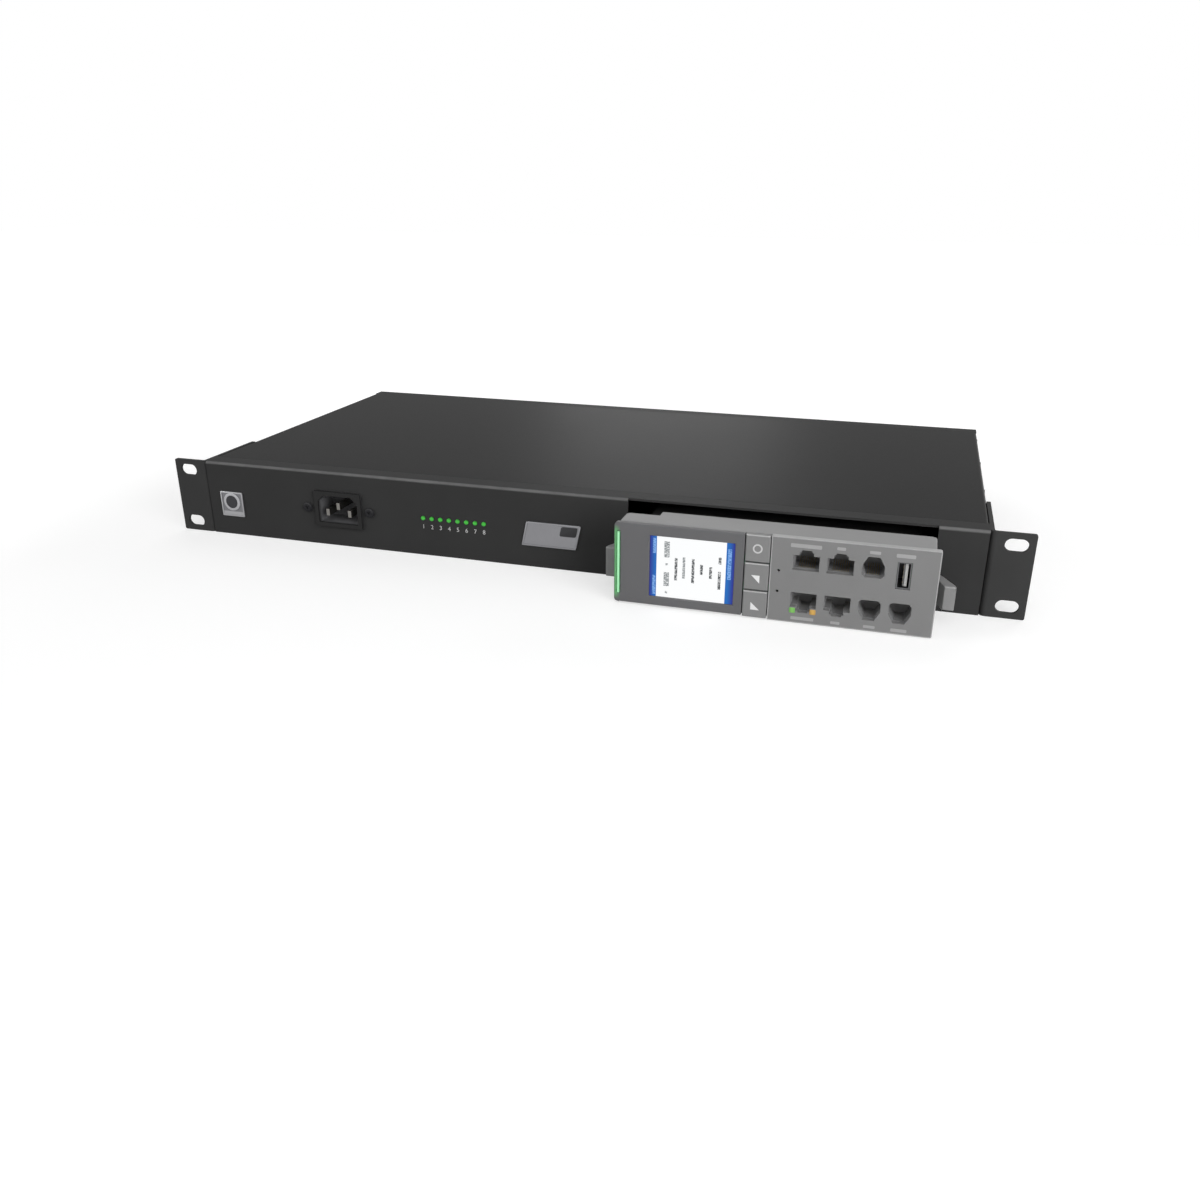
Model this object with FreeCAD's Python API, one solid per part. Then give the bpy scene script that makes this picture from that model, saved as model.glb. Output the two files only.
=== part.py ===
import FreeCAD, Part
import math
import os

Vector = FreeCAD.Vector

# Enclosure, folded from one gauge of sheet steel
chassis_height = 44.0
chassis_depth = 220.0
sheet = 1.2
bend_inner = 0.4
front_flange = 12.0
rear_flange = 10.0
side_tab = 9.0
lid_raise = 0.5
lid_gap = 0.2

# Rack ears, on the hole spacing of a 19-inch rack
rack_width = 482.6
ear_reach = 21.3
rack_slot_inset = 8.75
rack_slot_pitch_z = 31.75
rack_slot_width = 6.6
rack_slot_length = 11.0
ear_sheet = 2.0
ear_flange = 51.0
ear_bend_inner = 1.0
ear_corner = 1.0

# Screws and the clearance round every shank
shank_radius = 1.5
screw_head_radius = 2.8
screw_head_height = 1.6
cover_head_height = 0.6
screw_head_taper = 0.72
screw_tail = 2.0
hole_clearance = 0.15
ear_screw_first = 18.0
ear_screw_pitch_y = 22.0
ear_screw_pitch_z = 16.0
cover_screw_count = 3
cover_screw_inset = 20.0
cover_screw_drop = 5.0
cover_screw_pitch = 60.0

# Appliance inlet with a screwed flange behind the front panel
inlet_side_gap = 86.8
inlet_collar_width = 30.0
inlet_collar_height = 21.0
inlet_cavity_chamfer = 3.8
inlet_wall = 2.4
inlet_corner = 1.0
inlet_proud = 1.5
inlet_flange_width = 50.0
inlet_flange_height = 25.0
inlet_flange_thickness = 3.0
inlet_screw_pitch = 40.0
inlet_cavity_depth = 16.0
inlet_back = 5.0
pin_spread = 14.0
pin_offset = 4.0
pin_width = 2.0
pin_height = 4.0
pin_length = 24.0

# Row of indicator lights
light_count = 8
light_gap = 53.5
light_pitch = 5.27
light_radius = 1.2
light_proud = 0.4
light_strip_height = 6.0
light_strip_thickness = 3.0
light_margin = 4.0
board_thickness = 1.6

# Controller face and the head behind it
face_side_gap = 22.0
face_clearance = 0.4
face_thickness = 3.0
face_corner = 2.0
face_overhang = 2.45
module_proud = 36.0
head_drop = 0.3
head_depth = 21.7
head_wall = 2.0
head_corner = 2.5
head_step = 5.9
head_step_width = 16.8
fit_gap = 0.2

# Controller opening in the front panel
bay_left_gap = 5.4
bay_right_gap = 0.85
bay_lip = 1.3

# Display side of the face
bezel_step = 0.5
screen_width = 42.0
screen_height = 31.6
screen_left = 18.4
screen_right = 4.7
screen_drop = 0.4
screen_inset = 0.6
screen_flange = 0.8
screen_back = 1.5
bar_left = 1.7
bar_width = 1.2
bar_height = 32.4
bar_proud = 0.2

# Key column, three to the height of the face
key_count = 3
key_width = 11.8
key_space = 0.7
key_gap = 0.5
key_proud = 0.4
key_travel = 0.8
key_thickness = 2.3
key_lip = 1.0
key_lip_gap = 0.3
key_lip_relief = 5.1
key_stem_radius = 2.0
key_rounding = 0.6

# Ports: two wide and two narrow columns of jacks
jack_wide = 11.8
jack_narrow = 9.8
jack_height = 7.0
jack_key_width = 6.2
jack_key_height = 1.8
jack_notch_width = 4.2
jack_notch_height = 0.9
jack_wall = 1.2
jack_space = 1.75
jack_depth = 13.0
jack_back = 2.0
jack_chamfer = 1.4
jack_slope = 1.6
jack_bell_width = 4.8
jack_upper_gap = 2.6
jack_lower_gap = 2.2
jack_margin = 0.3
ports_left = 29.6
ports_right = 15.65
usb_z = 8.0
usb_width = 6.2
usb_height = 13.1
usb_wall = 0.5
usb_tongue = 2.0
usb_inset = 0.6
pinhole_inset = 16.9
pinhole_upper_z = 4.5
pinhole_lower_z = -6.2
pinhole_radius = 0.7
front_board_room = 1.8
peg_radius = 2.5

# Sled behind the head, its board and its plug
tray_reach = 61.7
tray_headroom = 8.8
tray_wall = 1.5
tray_board_rise = 3.2
tray_board_inset = 6.0
tray_window_margin = 6.0
plug_width = 44.0
plug_height = 6.4
plug_depth = 6.0
tongue_width = 36.0
tongue_height = 3.0
tongue_length = 8.0
socket_floor = 1.4
socket_wall = 2.0
socket_gap = 0.5

# Travel of the controller from the place where it is shown
slide_in = 2.5
slide_out = 30.0
run_gap = 0.4

# Squeeze latches at both sides of the sled
arm_inset = 0.15
arm_thickness = 2.0
arm_room = 6.5
arm_root = 55.5
root_length = 5.0
shoulder_front = 3.2
flare_start = 4.2
flare_reach = 11.6
tab_front = 20.2
tab_width = 5.4
tab_rounding = 0.8
nib_height = 1.1
nib_length = 5.0
nib_ramp = 0.7
nib_middle = 37.0
left_tab_low = -14.7
left_tab_high = 1.5
right_tab_low = -13.2
right_tab_high = -1.0

# Guide rails that carry the sled
rail_thickness = 4.0
rail_length = 64.0
rail_height = 24.8
rail_ledge = 10.0
rail_base = 1.8
rail_run = 0.3

# Main board and what stands on it
board_left_gap = 80.0
board_right_gap = 15.0
board_setback = 70.0
board_rear_room = 33.0
board_rise = 6.8
standoff_radius = 3.0
standoff_inset = 9.0
relay_width = 12.0
relay_length = 20.0
relay_height = 15.0
relay_rear_room = 50.0
bus_thickness = 2.0
bus_height = 10.0
bus_inset = 10.0
live_rear_room = 37.0
neutral_rear_room = 43.0
supply_inset = 70.0
supply_width = 55.0
supply_length = 40.0
supply_height = 22.0
supply_setback = 84.0
supply_rounding = 1.5

# Terminal block for the incoming cable
terminal_width = 36.0
terminal_depth = 22.0
terminal_height = 18.0
terminal_step = 7.0
terminal_rear_room = 48.0
terminal_ways = 3
terminal_hole_radius = 2.6

# Outlets along the rear, each turned on its side
outlet_count = 8
outlet_side_gap = 14.3
outlet_gap = 0.6
outlet_flange_height = 40.0
outlet_flange_thickness = 1.5
outlet_block_width = 33.0
outlet_block_height = 34.0
outlet_raise = 7.5
outlet_top_bevel = 4.0
outlet_edge_bevel = 1.0
outlet_body_width = 30.0
outlet_body_height = 33.0
outlet_body_depth = 22.0
outlet_clearance = 0.3
groove_width = 20.6
groove_height = 28.6
groove_gap = 2.6
groove_chamfer = 5.0
groove_depth = 15.0
slot_width = 2.6
slot_length = 4.6
slot_depth = 20.0
contact_thickness = 1.2
contact_width = 3.6
contact_length = 8.0
outlet_notch_width = 9.0
outlet_notch_height = 2.5
outlet_notch_depth = 1.5

# Cable gland at the rear
gland_side_gap = 36.0
gland_room = 70.5
gland_flats = 27.0
gland_collar = 6.0
gland_thread_radius = 10.0
gland_inner = 12.0
gland_stub_radius = 9.4
gland_stub = 9.0
gland_bore_radius = 7.2
gland_nut_gap = 0.4
gland_nut_hex = 13.0
gland_dome = 14.5
gland_belly_ratio = 0.92
gland_mouth_radius = 7.8
gland_lip_radius = 10.4
gland_lip = 4.0
seal_bore_radius = 6.5
locknut_flats = 25.0
locknut_thickness = 4.0

# Places worked out from the sizes above
half_w = rack_width / 2 - ear_reach
chassis_width = 2 * half_w
half_h = chassis_height / 2
front_y = -ear_sheet
rear_y = front_y + chassis_depth
floor_top = -half_h + sheet
roof_z = half_h - sheet
bend_outer = sheet + bend_inner
wall_top = roof_z - bend_inner
lid_inside = half_w - sheet
base_half = lid_inside - lid_gap
inner_x = base_half - sheet
hole_radius = shank_radius + hole_clearance
panel_back = front_y + sheet
wall_front = rear_y - sheet
inlet_x = -half_w + inlet_side_gap
wide_pitch = jack_wide + 2 * jack_wall + jack_space
mixed_pitch = (jack_wide + jack_narrow) / 2 + 2 * jack_wall + jack_space
narrow_pitch = jack_narrow + 2 * jack_wall + jack_space
bezel_width = screen_left + screen_width + screen_right
face_width = bezel_width + ports_left + wide_pitch + mixed_pitch + narrow_pitch + ports_right
face_height = chassis_height - 2 * face_clearance
face_right = half_w - face_side_gap
face_left = face_right - face_width
module_x = (face_left + face_right) / 2
face_y = front_y - module_proud
face_back = face_y + face_thickness
bezel_height = face_height - 2 * bezel_step
bezel_right = face_left + bezel_width
head_width = face_width - 2 * face_overhang
head_height = face_height - 2 * head_drop
head_left = module_x - head_width / 2
head_right = module_x + head_width / 2
head_back = face_y + head_depth
head_inner = head_height / 2 - head_wall
screen_x = face_left + screen_left + screen_width / 2
key_pitch = face_height / key_count
key_height = key_pitch - key_space
key_lip_height = key_height - key_lip_relief
key_x = bezel_right + key_gap + key_width / 2
plate_left = key_x + key_width / 2 + key_gap
jack_tall = jack_height + jack_key_height + jack_notch_height
jack_upper_z = head_inner - jack_upper_gap - jack_wall - jack_tall
jack_lower_z = -head_inner + jack_lower_gap + jack_wall + jack_tall
board_face = face_back + jack_depth
arm_offset = head_width / 2 - arm_inset
tray_width = 2 * (arm_offset - arm_room)
tray_left = module_x - tray_width / 2
tray_right = module_x + tray_width / 2
tray_bottom = floor_top + rail_base + rail_run
tray_top = roof_z - tray_headroom
tray_rear = front_y + tray_reach
plug_front = tray_rear + plug_depth
board_left = -half_w + board_left_gap
board_right = half_w - board_right_gap
board_bottom = floor_top + board_rise
board_top = board_bottom + board_thickness
board_y0 = front_y + board_setback
board_y1 = rear_y - board_rear_room
plug_z = board_top + socket_floor + socket_gap + tongue_height / 2
outlet_pitch = (chassis_width - outlet_side_gap - gland_room) / outlet_count
outlet_face = rear_y + outlet_flange_thickness + outlet_raise
slot_bottom = outlet_face - slot_depth
groove_bottom = outlet_face - groove_depth
gland_x = -half_w + gland_side_gap
gland_face = rear_y + gland_collar
nut_start = gland_face + gland_nut_gap
nut_shoulder = nut_start + gland_nut_hex
nut_end = nut_shoulder + gland_dome
margin = 1.0


def box(x0, x1, y0, y1, z0, z1):
    return Part.makeBox(x1 - x0, y1 - y0, z1 - z0, Vector(x0, y0, z0))


# Box centred on the line through (x, z), from y0 to y1
def bar(x, width, y0, y1, z, height):
    return box(x - width / 2, x + width / 2, y0, y1, z - height / 2, z + height / 2)


def rod_x(x0, x1, y, z, radius):
    return Part.makeCylinder(radius, x1 - x0, Vector(x0, y, z), Vector(1, 0, 0))


def rod_y(x, y0, y1, z, radius):
    return Part.makeCylinder(radius, y1 - y0, Vector(x, y0, z), Vector(0, 1, 0))


def rod_z(x, y, z0, z1, radius):
    return Part.makeCylinder(radius, z1 - z0, Vector(x, y, z0), Vector(0, 0, 1))


def extrude(points, travel):
    outline = Part.makePolygon(points + [points[0]])
    return Part.Face(outline).extrude(travel)


# Outline in the X-Z plane, pulled along Y
def front_prism(outline, y0, y1):
    return extrude([Vector(x, y0, z) for x, z in outline], Vector(0, y1 - y0, 0))


# Outline in plan, pulled upwards
def plan_prism(outline, z0, z1):
    return extrude([Vector(x, y, z0) for x, y in outline], Vector(0, 0, z1 - z0))


# Side outline in the Y-Z plane, pulled along X
def side_prism(outline, x0, x1):
    return extrude([Vector(x0, y, z) for y, z in outline], Vector(x1 - x0, 0, 0))


# Straight edges along one axis whose middle has the given coordinates
def edges_along(shape, direction, **place):
    found = []
    for edge in shape.Edges:
        if len(edge.Vertexes) < 2:
            continue
        step = edge.Vertexes[1].Point - edge.Vertexes[0].Point
        if abs(abs(step.dot(direction)) - edge.Length) > 1e-6:
            continue
        middle = (edge.Vertexes[1].Point + edge.Vertexes[0].Point) * 0.5
        if all(abs(getattr(middle, axis) - value) < 1e-4 for axis, value in place.items()):
            found.append(edge)
    return found


def mirrored(shape, x):
    return shape.mirror(Vector(x, 0, 0), Vector(1, 0, 0))


# Rectangle with both upper corners cut off, as an appliance coupler has
def coupler_outline(x, z, width, height, chamfer):
    left, right = x - width / 2, x + width / 2
    low, high = z - height / 2, z + height / 2
    return [(left, low), (right, low), (right, high - chamfer), (right - chamfer, high),
            (left + chamfer, high), (left, high - chamfer)]


# Hexagon round the line (x, z = 0), with a flat on top
def hexagon(x, y, flats):
    radius = flats / math.sqrt(3)
    turns = [math.radians(60 * k) for k in range(6)]
    return [Vector(x + radius * math.cos(turn), y, radius * math.sin(turn)) for turn in turns]


def hex_bar(x, y0, y1, flats):
    return extrude(hexagon(x, y0, flats), Vector(0, y1 - y0, 0))


def ear_screw_places():
    first = front_y + ear_screw_first
    return [(first + row * ear_screw_pitch_y, side * ear_screw_pitch_z / 2)
            for row in (0, 1) for side in (-1, 1)]


def cover_screw_places():
    last = rear_y - cover_screw_inset
    return [(last - k * cover_screw_pitch, half_h - cover_screw_drop) for k in range(cover_screw_count)]


def light_places():
    return [inlet_x + light_gap + k * light_pitch for k in range(light_count)]


def outlet_places():
    first = half_w - outlet_side_gap - outlet_pitch / 2
    return [first - k * outlet_pitch for k in range(outlet_count)]


def key_places():
    return {"select_button": key_pitch, "up_button": 0.0, "down_button": -key_pitch}


def port_columns():
    first = bezel_right + ports_left
    second = first + wide_pitch
    third = second + mixed_pitch
    return [first, second, third, third + narrow_pitch]


# Jack name, middle, opening width, foot of the opening and the side its keyway is on
def jack_places():
    widths = [jack_wide, jack_wide, jack_narrow, jack_narrow]
    columns = list(zip(port_columns(), widths))
    upper = [(f"upper_jack_{k}", x, width, jack_upper_z, 1) for k, (x, width) in enumerate(columns[:3], 1)]
    lower = [(f"lower_jack_{k}", x, width, jack_lower_z, -1) for k, (x, width) in enumerate(columns, 1)]
    return upper + lower


def folded_wall(face, flange_end, flange):
    inward = 1 if flange_end > face else -1
    back = face + inward * sheet
    outline = [(face, -half_h), (face, half_h), (flange_end, half_h), (flange_end, roof_z),
               (back, roof_z), (back, -half_h)]
    wall = side_prism(outline, -half_w, half_w)
    along_x = Vector(1, 0, 0)
    wall = wall.makeFillet(bend_outer, edges_along(wall, along_x, y=face, z=half_h))
    wall = wall.makeFillet(bend_inner, edges_along(wall, along_x, y=back, z=roof_z))
    tab_end = face + inward * min(side_tab, flange)
    for side in (-1, 1):
        x0, x1 = sorted((side * inner_x, side * (inner_x - sheet)))
        y0, y1 = sorted((back, tab_end))
        wall = wall.fuse(box(x0, x1, y0, y1, floor_top + margin, roof_z - margin))
    return wall


# Rectangular nose of the inlet, and the cut-out for it
def inlet_block(grow, y0, y1):
    block = bar(inlet_x, inlet_collar_width + 2 * grow, y0, y1, 0, inlet_collar_height + 2 * grow)
    return block.makeFillet(inlet_corner, edges_along(block, Vector(0, 1, 0)))


def front_panel():
    panel = folded_wall(front_y, front_y + front_flange, front_flange)
    bay = box(head_left - bay_left_gap, head_right + bay_right_gap, front_y - margin, panel_back + bend_inner,
              floor_top + bay_lip, half_h + margin)
    cuts = [bay, inlet_block(fit_gap, front_y - margin, panel_back + margin)]
    for side in (-1, 1):
        cuts.append(rod_y(inlet_x + side * inlet_screw_pitch / 2, front_y - margin, panel_back + margin,
                          0, hole_radius))
    for x in light_places():
        cuts.append(rod_y(x, front_y - margin, panel_back + margin, 0, light_radius + hole_clearance))
    return panel.cut(cuts).removeSplitter()


def rear_panel():
    panel = folded_wall(rear_y, rear_y - rear_flange, rear_flange)
    cuts = []
    for x in outlet_places():
        half_x = outlet_body_width / 2 + outlet_clearance
        half_z = outlet_body_height / 2 + outlet_clearance
        cuts.append(box(x - half_x, x + half_x, wall_front - margin, rear_y + margin, -half_z, half_z))
    cuts.append(rod_y(gland_x, wall_front - margin, rear_y + margin, 0, gland_thread_radius + hole_clearance))
    return panel.cut(cuts).removeSplitter()


def side_screw_holes():
    return [rod_x(-half_w - margin, half_w + margin, y, z, hole_radius)
            for y, z in ear_screw_places() + cover_screw_places()]


def chassis_base():
    along_y = Vector(0, 1, 0)
    outer = box(-base_half, base_half, panel_back, wall_front, -half_h, wall_top)
    outer = outer.makeFillet(bend_outer, edges_along(outer, along_y, z=-half_h))
    inner = box(-inner_x, inner_x, panel_back - margin, wall_front + margin, floor_top, half_h)
    inner = inner.makeFillet(bend_inner, edges_along(inner, along_y, z=floor_top))
    base = outer.cut([inner] + side_screw_holes())
    for x in (board_left + standoff_inset, (board_left + board_right) / 2, board_right - standoff_inset):
        for y in (board_y0 + standoff_inset, board_y1 - standoff_inset):
            base = base.fuse(rod_z(x, y, floor_top - sheet / 2, board_bottom, standoff_radius))
    return base.removeSplitter()


# Lid with full-height sides outside the base, notched under the flanges of both end panels
def top_cover():
    along_y = Vector(0, 1, 0)
    foot = -half_h + lid_raise
    lid = box(-half_w, half_w, panel_back, wall_front, foot, half_h)
    lid = lid.makeFillet(bend_outer, edges_along(lid, along_y, z=half_h))
    hollow = box(-lid_inside, lid_inside, panel_back - margin, wall_front + margin, foot - margin, roof_z)
    hollow = hollow.makeFillet(bend_inner, edges_along(hollow, along_y, z=roof_z))
    under_front = box(-half_w - margin, half_w + margin, panel_back - margin, front_y + front_flange + lid_gap,
                      wall_top, half_h + margin)
    under_rear = box(-half_w - margin, half_w + margin, rear_y - rear_flange - lid_gap, wall_front + margin,
                     wall_top, half_h + margin)
    return lid.cut([hollow, under_front, under_rear] + side_screw_holes())


def right_rack_ear():
    along_z = Vector(0, 0, 1)
    outer_x = rack_width / 2
    outline = [(half_w, front_y), (outer_x, front_y), (outer_x, 0), (half_w + ear_sheet, 0),
               (half_w + ear_sheet, front_y + ear_flange), (half_w, front_y + ear_flange)]
    ear = plan_prism(outline, -half_h, half_h)
    ear = ear.makeFillet(ear_sheet + ear_bend_inner, edges_along(ear, along_z, x=half_w, y=front_y))
    ear = ear.makeFillet(ear_bend_inner, edges_along(ear, along_z, x=half_w + ear_sheet, y=0.0))
    corners = edges_along(ear, Vector(0, 1, 0), x=outer_x)
    corners += edges_along(ear, Vector(1, 0, 0), y=front_y + ear_flange)
    ear = ear.makeFillet(ear_corner, corners)
    cuts = [rack_slot(side * rack_slot_pitch_z / 2) for side in (-1, 1)]
    for y, z in ear_screw_places():
        cuts.append(rod_x(half_w - margin, half_w + ear_sheet + margin, y, z, hole_radius))
    return ear.cut(cuts)


def rack_slot(z):
    x = rack_width / 2 - rack_slot_inset
    reach = (rack_slot_length - rack_slot_width) / 2
    radius = rack_slot_width / 2
    slot = box(x - reach, x + reach, front_y - margin, margin, z - radius, z + radius)
    for end in (-reach, reach):
        slot = slot.fuse(rod_y(x + end, front_y - margin, margin, z, radius))
    return slot.removeSplitter()


# Pan-head screw; grip is the thickness of metal that it holds
def pan_screw(seat, outward, grip, head):
    length = grip + screw_tail
    shank = Part.makeCylinder(shank_radius, length, seat - outward * length, outward)
    drum = Part.makeCylinder(screw_head_radius, head / 2, seat, outward)
    crown = Part.makeCone(screw_head_radius, screw_head_radius * screw_head_taper, head / 2,
                          seat + outward * (head / 2), outward)
    return shank.fuse([drum, crown]).removeSplitter()


def side_screw(x, y, z, grip, head):
    return pan_screw(Vector(x, y, z), Vector(1, 0, 0), grip, head)


def both_sides(solids):
    return Part.makeCompound(solids + [mirrored(solid, 0) for solid in solids])


def ear_screws():
    x = half_w + ear_sheet
    grip = ear_sheet + half_w - inner_x
    return both_sides([side_screw(x, y, z, grip, screw_head_height) for y, z in ear_screw_places()])


def cover_screws():
    grip = half_w - inner_x
    return both_sides([side_screw(half_w, y, z, grip, cover_head_height) for y, z in cover_screw_places()])


def inlet_back_wall():
    start = front_y - inlet_proud + inlet_cavity_depth
    return start, start + inlet_back


def inlet_pin_places():
    low = -pin_offset / 2
    return [(inlet_x - pin_spread / 2, low), (inlet_x, -low), (inlet_x + pin_spread / 2, low)]


def pin_box(x, z, y0, y1):
    return bar(x, pin_width, y0, y1, z, pin_height)


def inlet_housing():
    floor, back = inlet_back_wall()
    mouth = front_y - inlet_proud
    inner = coupler_outline(inlet_x, 0, inlet_collar_width - 2 * inlet_wall,
                            inlet_collar_height - 2 * inlet_wall, inlet_cavity_chamfer)
    flange_back = panel_back + inlet_flange_thickness
    flange = bar(inlet_x, inlet_flange_width, panel_back, flange_back, 0, inlet_flange_height)
    flange = flange.makeFillet(inlet_wall, edges_along(flange, Vector(0, 1, 0)))
    housing = inlet_block(0, mouth, back).fuse(flange)
    cuts = [front_prism(inner, mouth - margin, floor)]
    for side in (-1, 1):
        cuts.append(rod_y(inlet_x + side * inlet_screw_pitch / 2, panel_back - margin, flange_back + margin,
                          0, hole_radius))
    for x, z in inlet_pin_places():
        cuts.append(pin_box(x, z, floor - margin, back + margin))
    return housing.cut(cuts).removeSplitter()


def inlet_pins():
    floor, back = inlet_back_wall()
    start = back + screw_tail * 2 - pin_length
    return Part.makeCompound([pin_box(x, z, start, start + pin_length) for x, z in inlet_pin_places()])


def inlet_screws():
    grip = sheet + inlet_flange_thickness
    return Part.makeCompound([pan_screw(Vector(inlet_x + side * inlet_screw_pitch / 2, front_y, 0),
                                        Vector(0, -1, 0), grip, screw_head_height) for side in (-1, 1)])


def light_strip_span():
    places = light_places()
    return places[0] - light_margin, places[-1] + light_margin


def light_pipes():
    x0, x1 = light_strip_span()
    half = light_strip_height / 2
    strip = box(x0, x1, panel_back, panel_back + light_strip_thickness, -half, half)
    for x in light_places():
        strip = strip.fuse(rod_y(x, front_y - light_proud, panel_back, 0, light_radius))
    return strip.removeSplitter()


def light_board():
    x0, x1 = light_strip_span()
    start = panel_back + light_strip_thickness
    return box(x0, x1, start, start + board_thickness, -light_strip_height, light_strip_height)


# Plan of the head: straight front, a step at the left of its rear edge
def head_outline(inset, front):
    left = head_left + inset
    right = head_right - inset
    rear = head_back - inset
    step_x = head_left + head_step_width + inset
    return [(left, front), (right, front), (right, rear), (step_x, rear),
            (step_x, rear - head_step), (left, rear - head_step)]


def front_board_span():
    return head_left + head_step_width + head_wall + front_board_room, head_right - head_wall - front_board_room


def board_peg_places():
    x0, x1 = front_board_span()
    reach = head_inner - front_board_room - 2 * peg_radius
    return [(x, side * reach) for x in (x0 + 2 * peg_radius, x1 - 2 * peg_radius) for side in (-1, 1)]


def controller_housing():
    along_z = Vector(0, 0, 1)
    half = head_height / 2
    head = plan_prism(head_outline(0, face_back), -half, half)
    rounded = edges_along(head, along_z, x=head_right, y=head_back)
    rounded += edges_along(head, along_z, x=head_left, y=head_back - head_step)
    head = head.makeFillet(head_corner, rounded)
    hollow = plan_prism(head_outline(head_wall, face_back - margin), -half + head_wall, half - head_wall)
    window = box(tray_left + tray_window_margin, tray_right - tray_window_margin,
                 head_back - head_step - head_wall - margin, head_back + margin,
                 tray_bottom + tray_window_margin, tray_top - tray_window_margin)
    head = head.cut([hollow, window])
    for x, z in board_peg_places():
        head = head.fuse(rod_y(x, board_face + board_thickness, head_back - head_wall / 2, z, peg_radius))
    return head.removeSplitter()


# Opening of a wide modular jack: a rectangle with a stepped keyway on one side
def stepped_outline(x, width, foot, side, grow):
    half, key, notch = width / 2 + grow, jack_key_width / 2 + grow, jack_notch_width / 2 + grow
    low = foot - side * grow
    high = foot + side * (jack_height + grow)
    step = high + side * jack_key_height
    top = step + side * jack_notch_height
    return [(x - half, low), (x + half, low), (x + half, high), (x + key, high), (x + key, step),
            (x + notch, step), (x + notch, top), (x - notch, top), (x - notch, step), (x - key, step),
            (x - key, high), (x - half, high)]


# Opening of a narrow modular jack: a bell that is widest near its foot
def bell_outline(x, width, foot, side, grow):
    half, crown = width / 2 + grow, jack_bell_width / 2 + grow
    low = foot - side * grow
    corner = low + side * jack_chamfer
    high = foot + side * (jack_height - jack_slope)
    top = foot + side * (jack_tall + grow)
    return [(x - half + jack_chamfer, low), (x + half - jack_chamfer, low), (x + half, corner), (x + half, high),
            (x + crown, top), (x - crown, top), (x - half, high), (x - half, corner)]


def jack_outline(x, width, foot, side, grow):
    outline = bell_outline if width == jack_narrow else stepped_outline
    return outline(x, width, foot, side, grow)


def usb_box(grow, y0, y1):
    return bar(port_columns()[-1], usb_width + 2 * grow, y0, y1, usb_z, usb_height + 2 * grow)


def port_plate():
    half = face_height / 2
    plate = box(plate_left, face_right, face_y, face_back, -half, half)
    plate = plate.makeFillet(face_thickness / 3, edges_along(plate, Vector(0, 1, 0), x=face_right))
    cuts = []
    for name, x, width, foot, side in jack_places():
        mouth = jack_outline(x, width, foot, side, jack_margin)
        cuts.append(front_prism(mouth, face_y - margin, face_back + margin))
    cuts.append(usb_box(fit_gap, face_y - margin, face_back + margin))
    for z in (pinhole_upper_z, pinhole_lower_z):
        cuts.append(rod_y(bezel_right + pinhole_inset, face_y - margin, face_back + margin, z, pinhole_radius))
    return plate.cut(cuts)


def screen_box(grow, y0, y1):
    return bar(screen_x, screen_width + 2 * grow, y0, y1, -screen_drop, screen_height + 2 * grow)


def bar_box(grow, y0, y1):
    x = face_left + bar_left
    half = bar_height / 2 + grow
    return box(x - grow, x + bar_width + grow, y0, y1, -half, half)


def display_bezel():
    half = bezel_height / 2
    bezel = box(face_left, bezel_right, face_y, face_back, -half, half)
    bezel = bezel.makeFillet(face_corner, edges_along(bezel, Vector(0, 1, 0), x=face_left))
    return bezel.cut([screen_box(fit_gap, face_y - margin, face_back + margin),
                      bar_box(fit_gap, face_y - margin, face_back + margin)])


def display_screen():
    glass = screen_box(0, face_y + screen_inset, face_back)
    return glass.fuse(screen_box(screen_flange, face_back, face_back + screen_back)).removeSplitter()


def status_light_bar():
    return bar_box(0, face_y - bar_proud, face_back)


def push_key(z):
    front = face_y - key_proud
    back = front + key_thickness
    cap = bar(key_x, key_width, front, back, z, key_height)
    rim = edges_along(cap, Vector(1, 0, 0), y=front) + edges_along(cap, Vector(0, 0, 1), y=front)
    cap = cap.makeFillet(key_rounding, rim)
    lip_start = face_back + key_lip_gap
    neck = bar(key_x, key_width, back, lip_start, z, key_lip_height)
    lip_width = key_width + 2 * (key_gap + key_lip)
    stop = bar(key_x, lip_width, lip_start, lip_start + key_lip, z, key_lip_height)
    stem = rod_y(key_x, lip_start + key_lip, board_face - key_travel - fit_gap, z, key_stem_radius)
    return cap.fuse([neck, stop, stem]).removeSplitter()


def modular_jack(x, width, foot, side):
    low, high = sorted((foot - side * jack_wall, foot + side * (jack_tall + jack_wall)))
    half = width / 2 + jack_wall
    body = box(x - half, x + half, face_back, board_face, low, high)
    mouth = jack_outline(x, width, foot, side, 0)
    return body.cut(front_prism(mouth, face_back - margin, board_face - jack_back))


def usb_port():
    start = face_y + usb_inset
    shell = usb_box(0, start, board_face).cut(usb_box(-usb_wall, start - margin, board_face - jack_back))
    height = usb_height - 4 * usb_wall
    tongue_x = port_columns()[-1] + usb_width / 2 - usb_wall - usb_tongue
    tongue = bar(tongue_x, usb_tongue, start + 2 * usb_wall, board_face - usb_wall, usb_z, height)
    return shell.fuse(tongue).removeSplitter()


def controller_front_board():
    x0, x1 = front_board_span()
    half = head_inner - front_board_room
    return box(x0, x1, board_face, board_face + board_thickness, -half, half)


def controller_tray():
    tray = box(tray_left, tray_right, head_back, tray_rear, tray_bottom, tray_top)
    floor = tray_bottom + tray_wall
    tray = tray.cut(box(tray_left + tray_wall, tray_right - tray_wall, head_back - margin,
                        tray_rear - tray_wall, floor, tray_top + margin))
    inset = tray_board_inset + 2 * standoff_radius
    for x in (tray_left + inset, tray_right - inset):
        for y in (head_back + inset, tray_rear - inset):
            tray = tray.fuse(rod_z(x, y, floor - tray_wall / 2, floor + tray_board_rise, standoff_radius))
    return tray.removeSplitter()


def controller_lid():
    return box(tray_left, tray_right, head_back, tray_rear, tray_top, tray_top + tray_wall)


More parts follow.
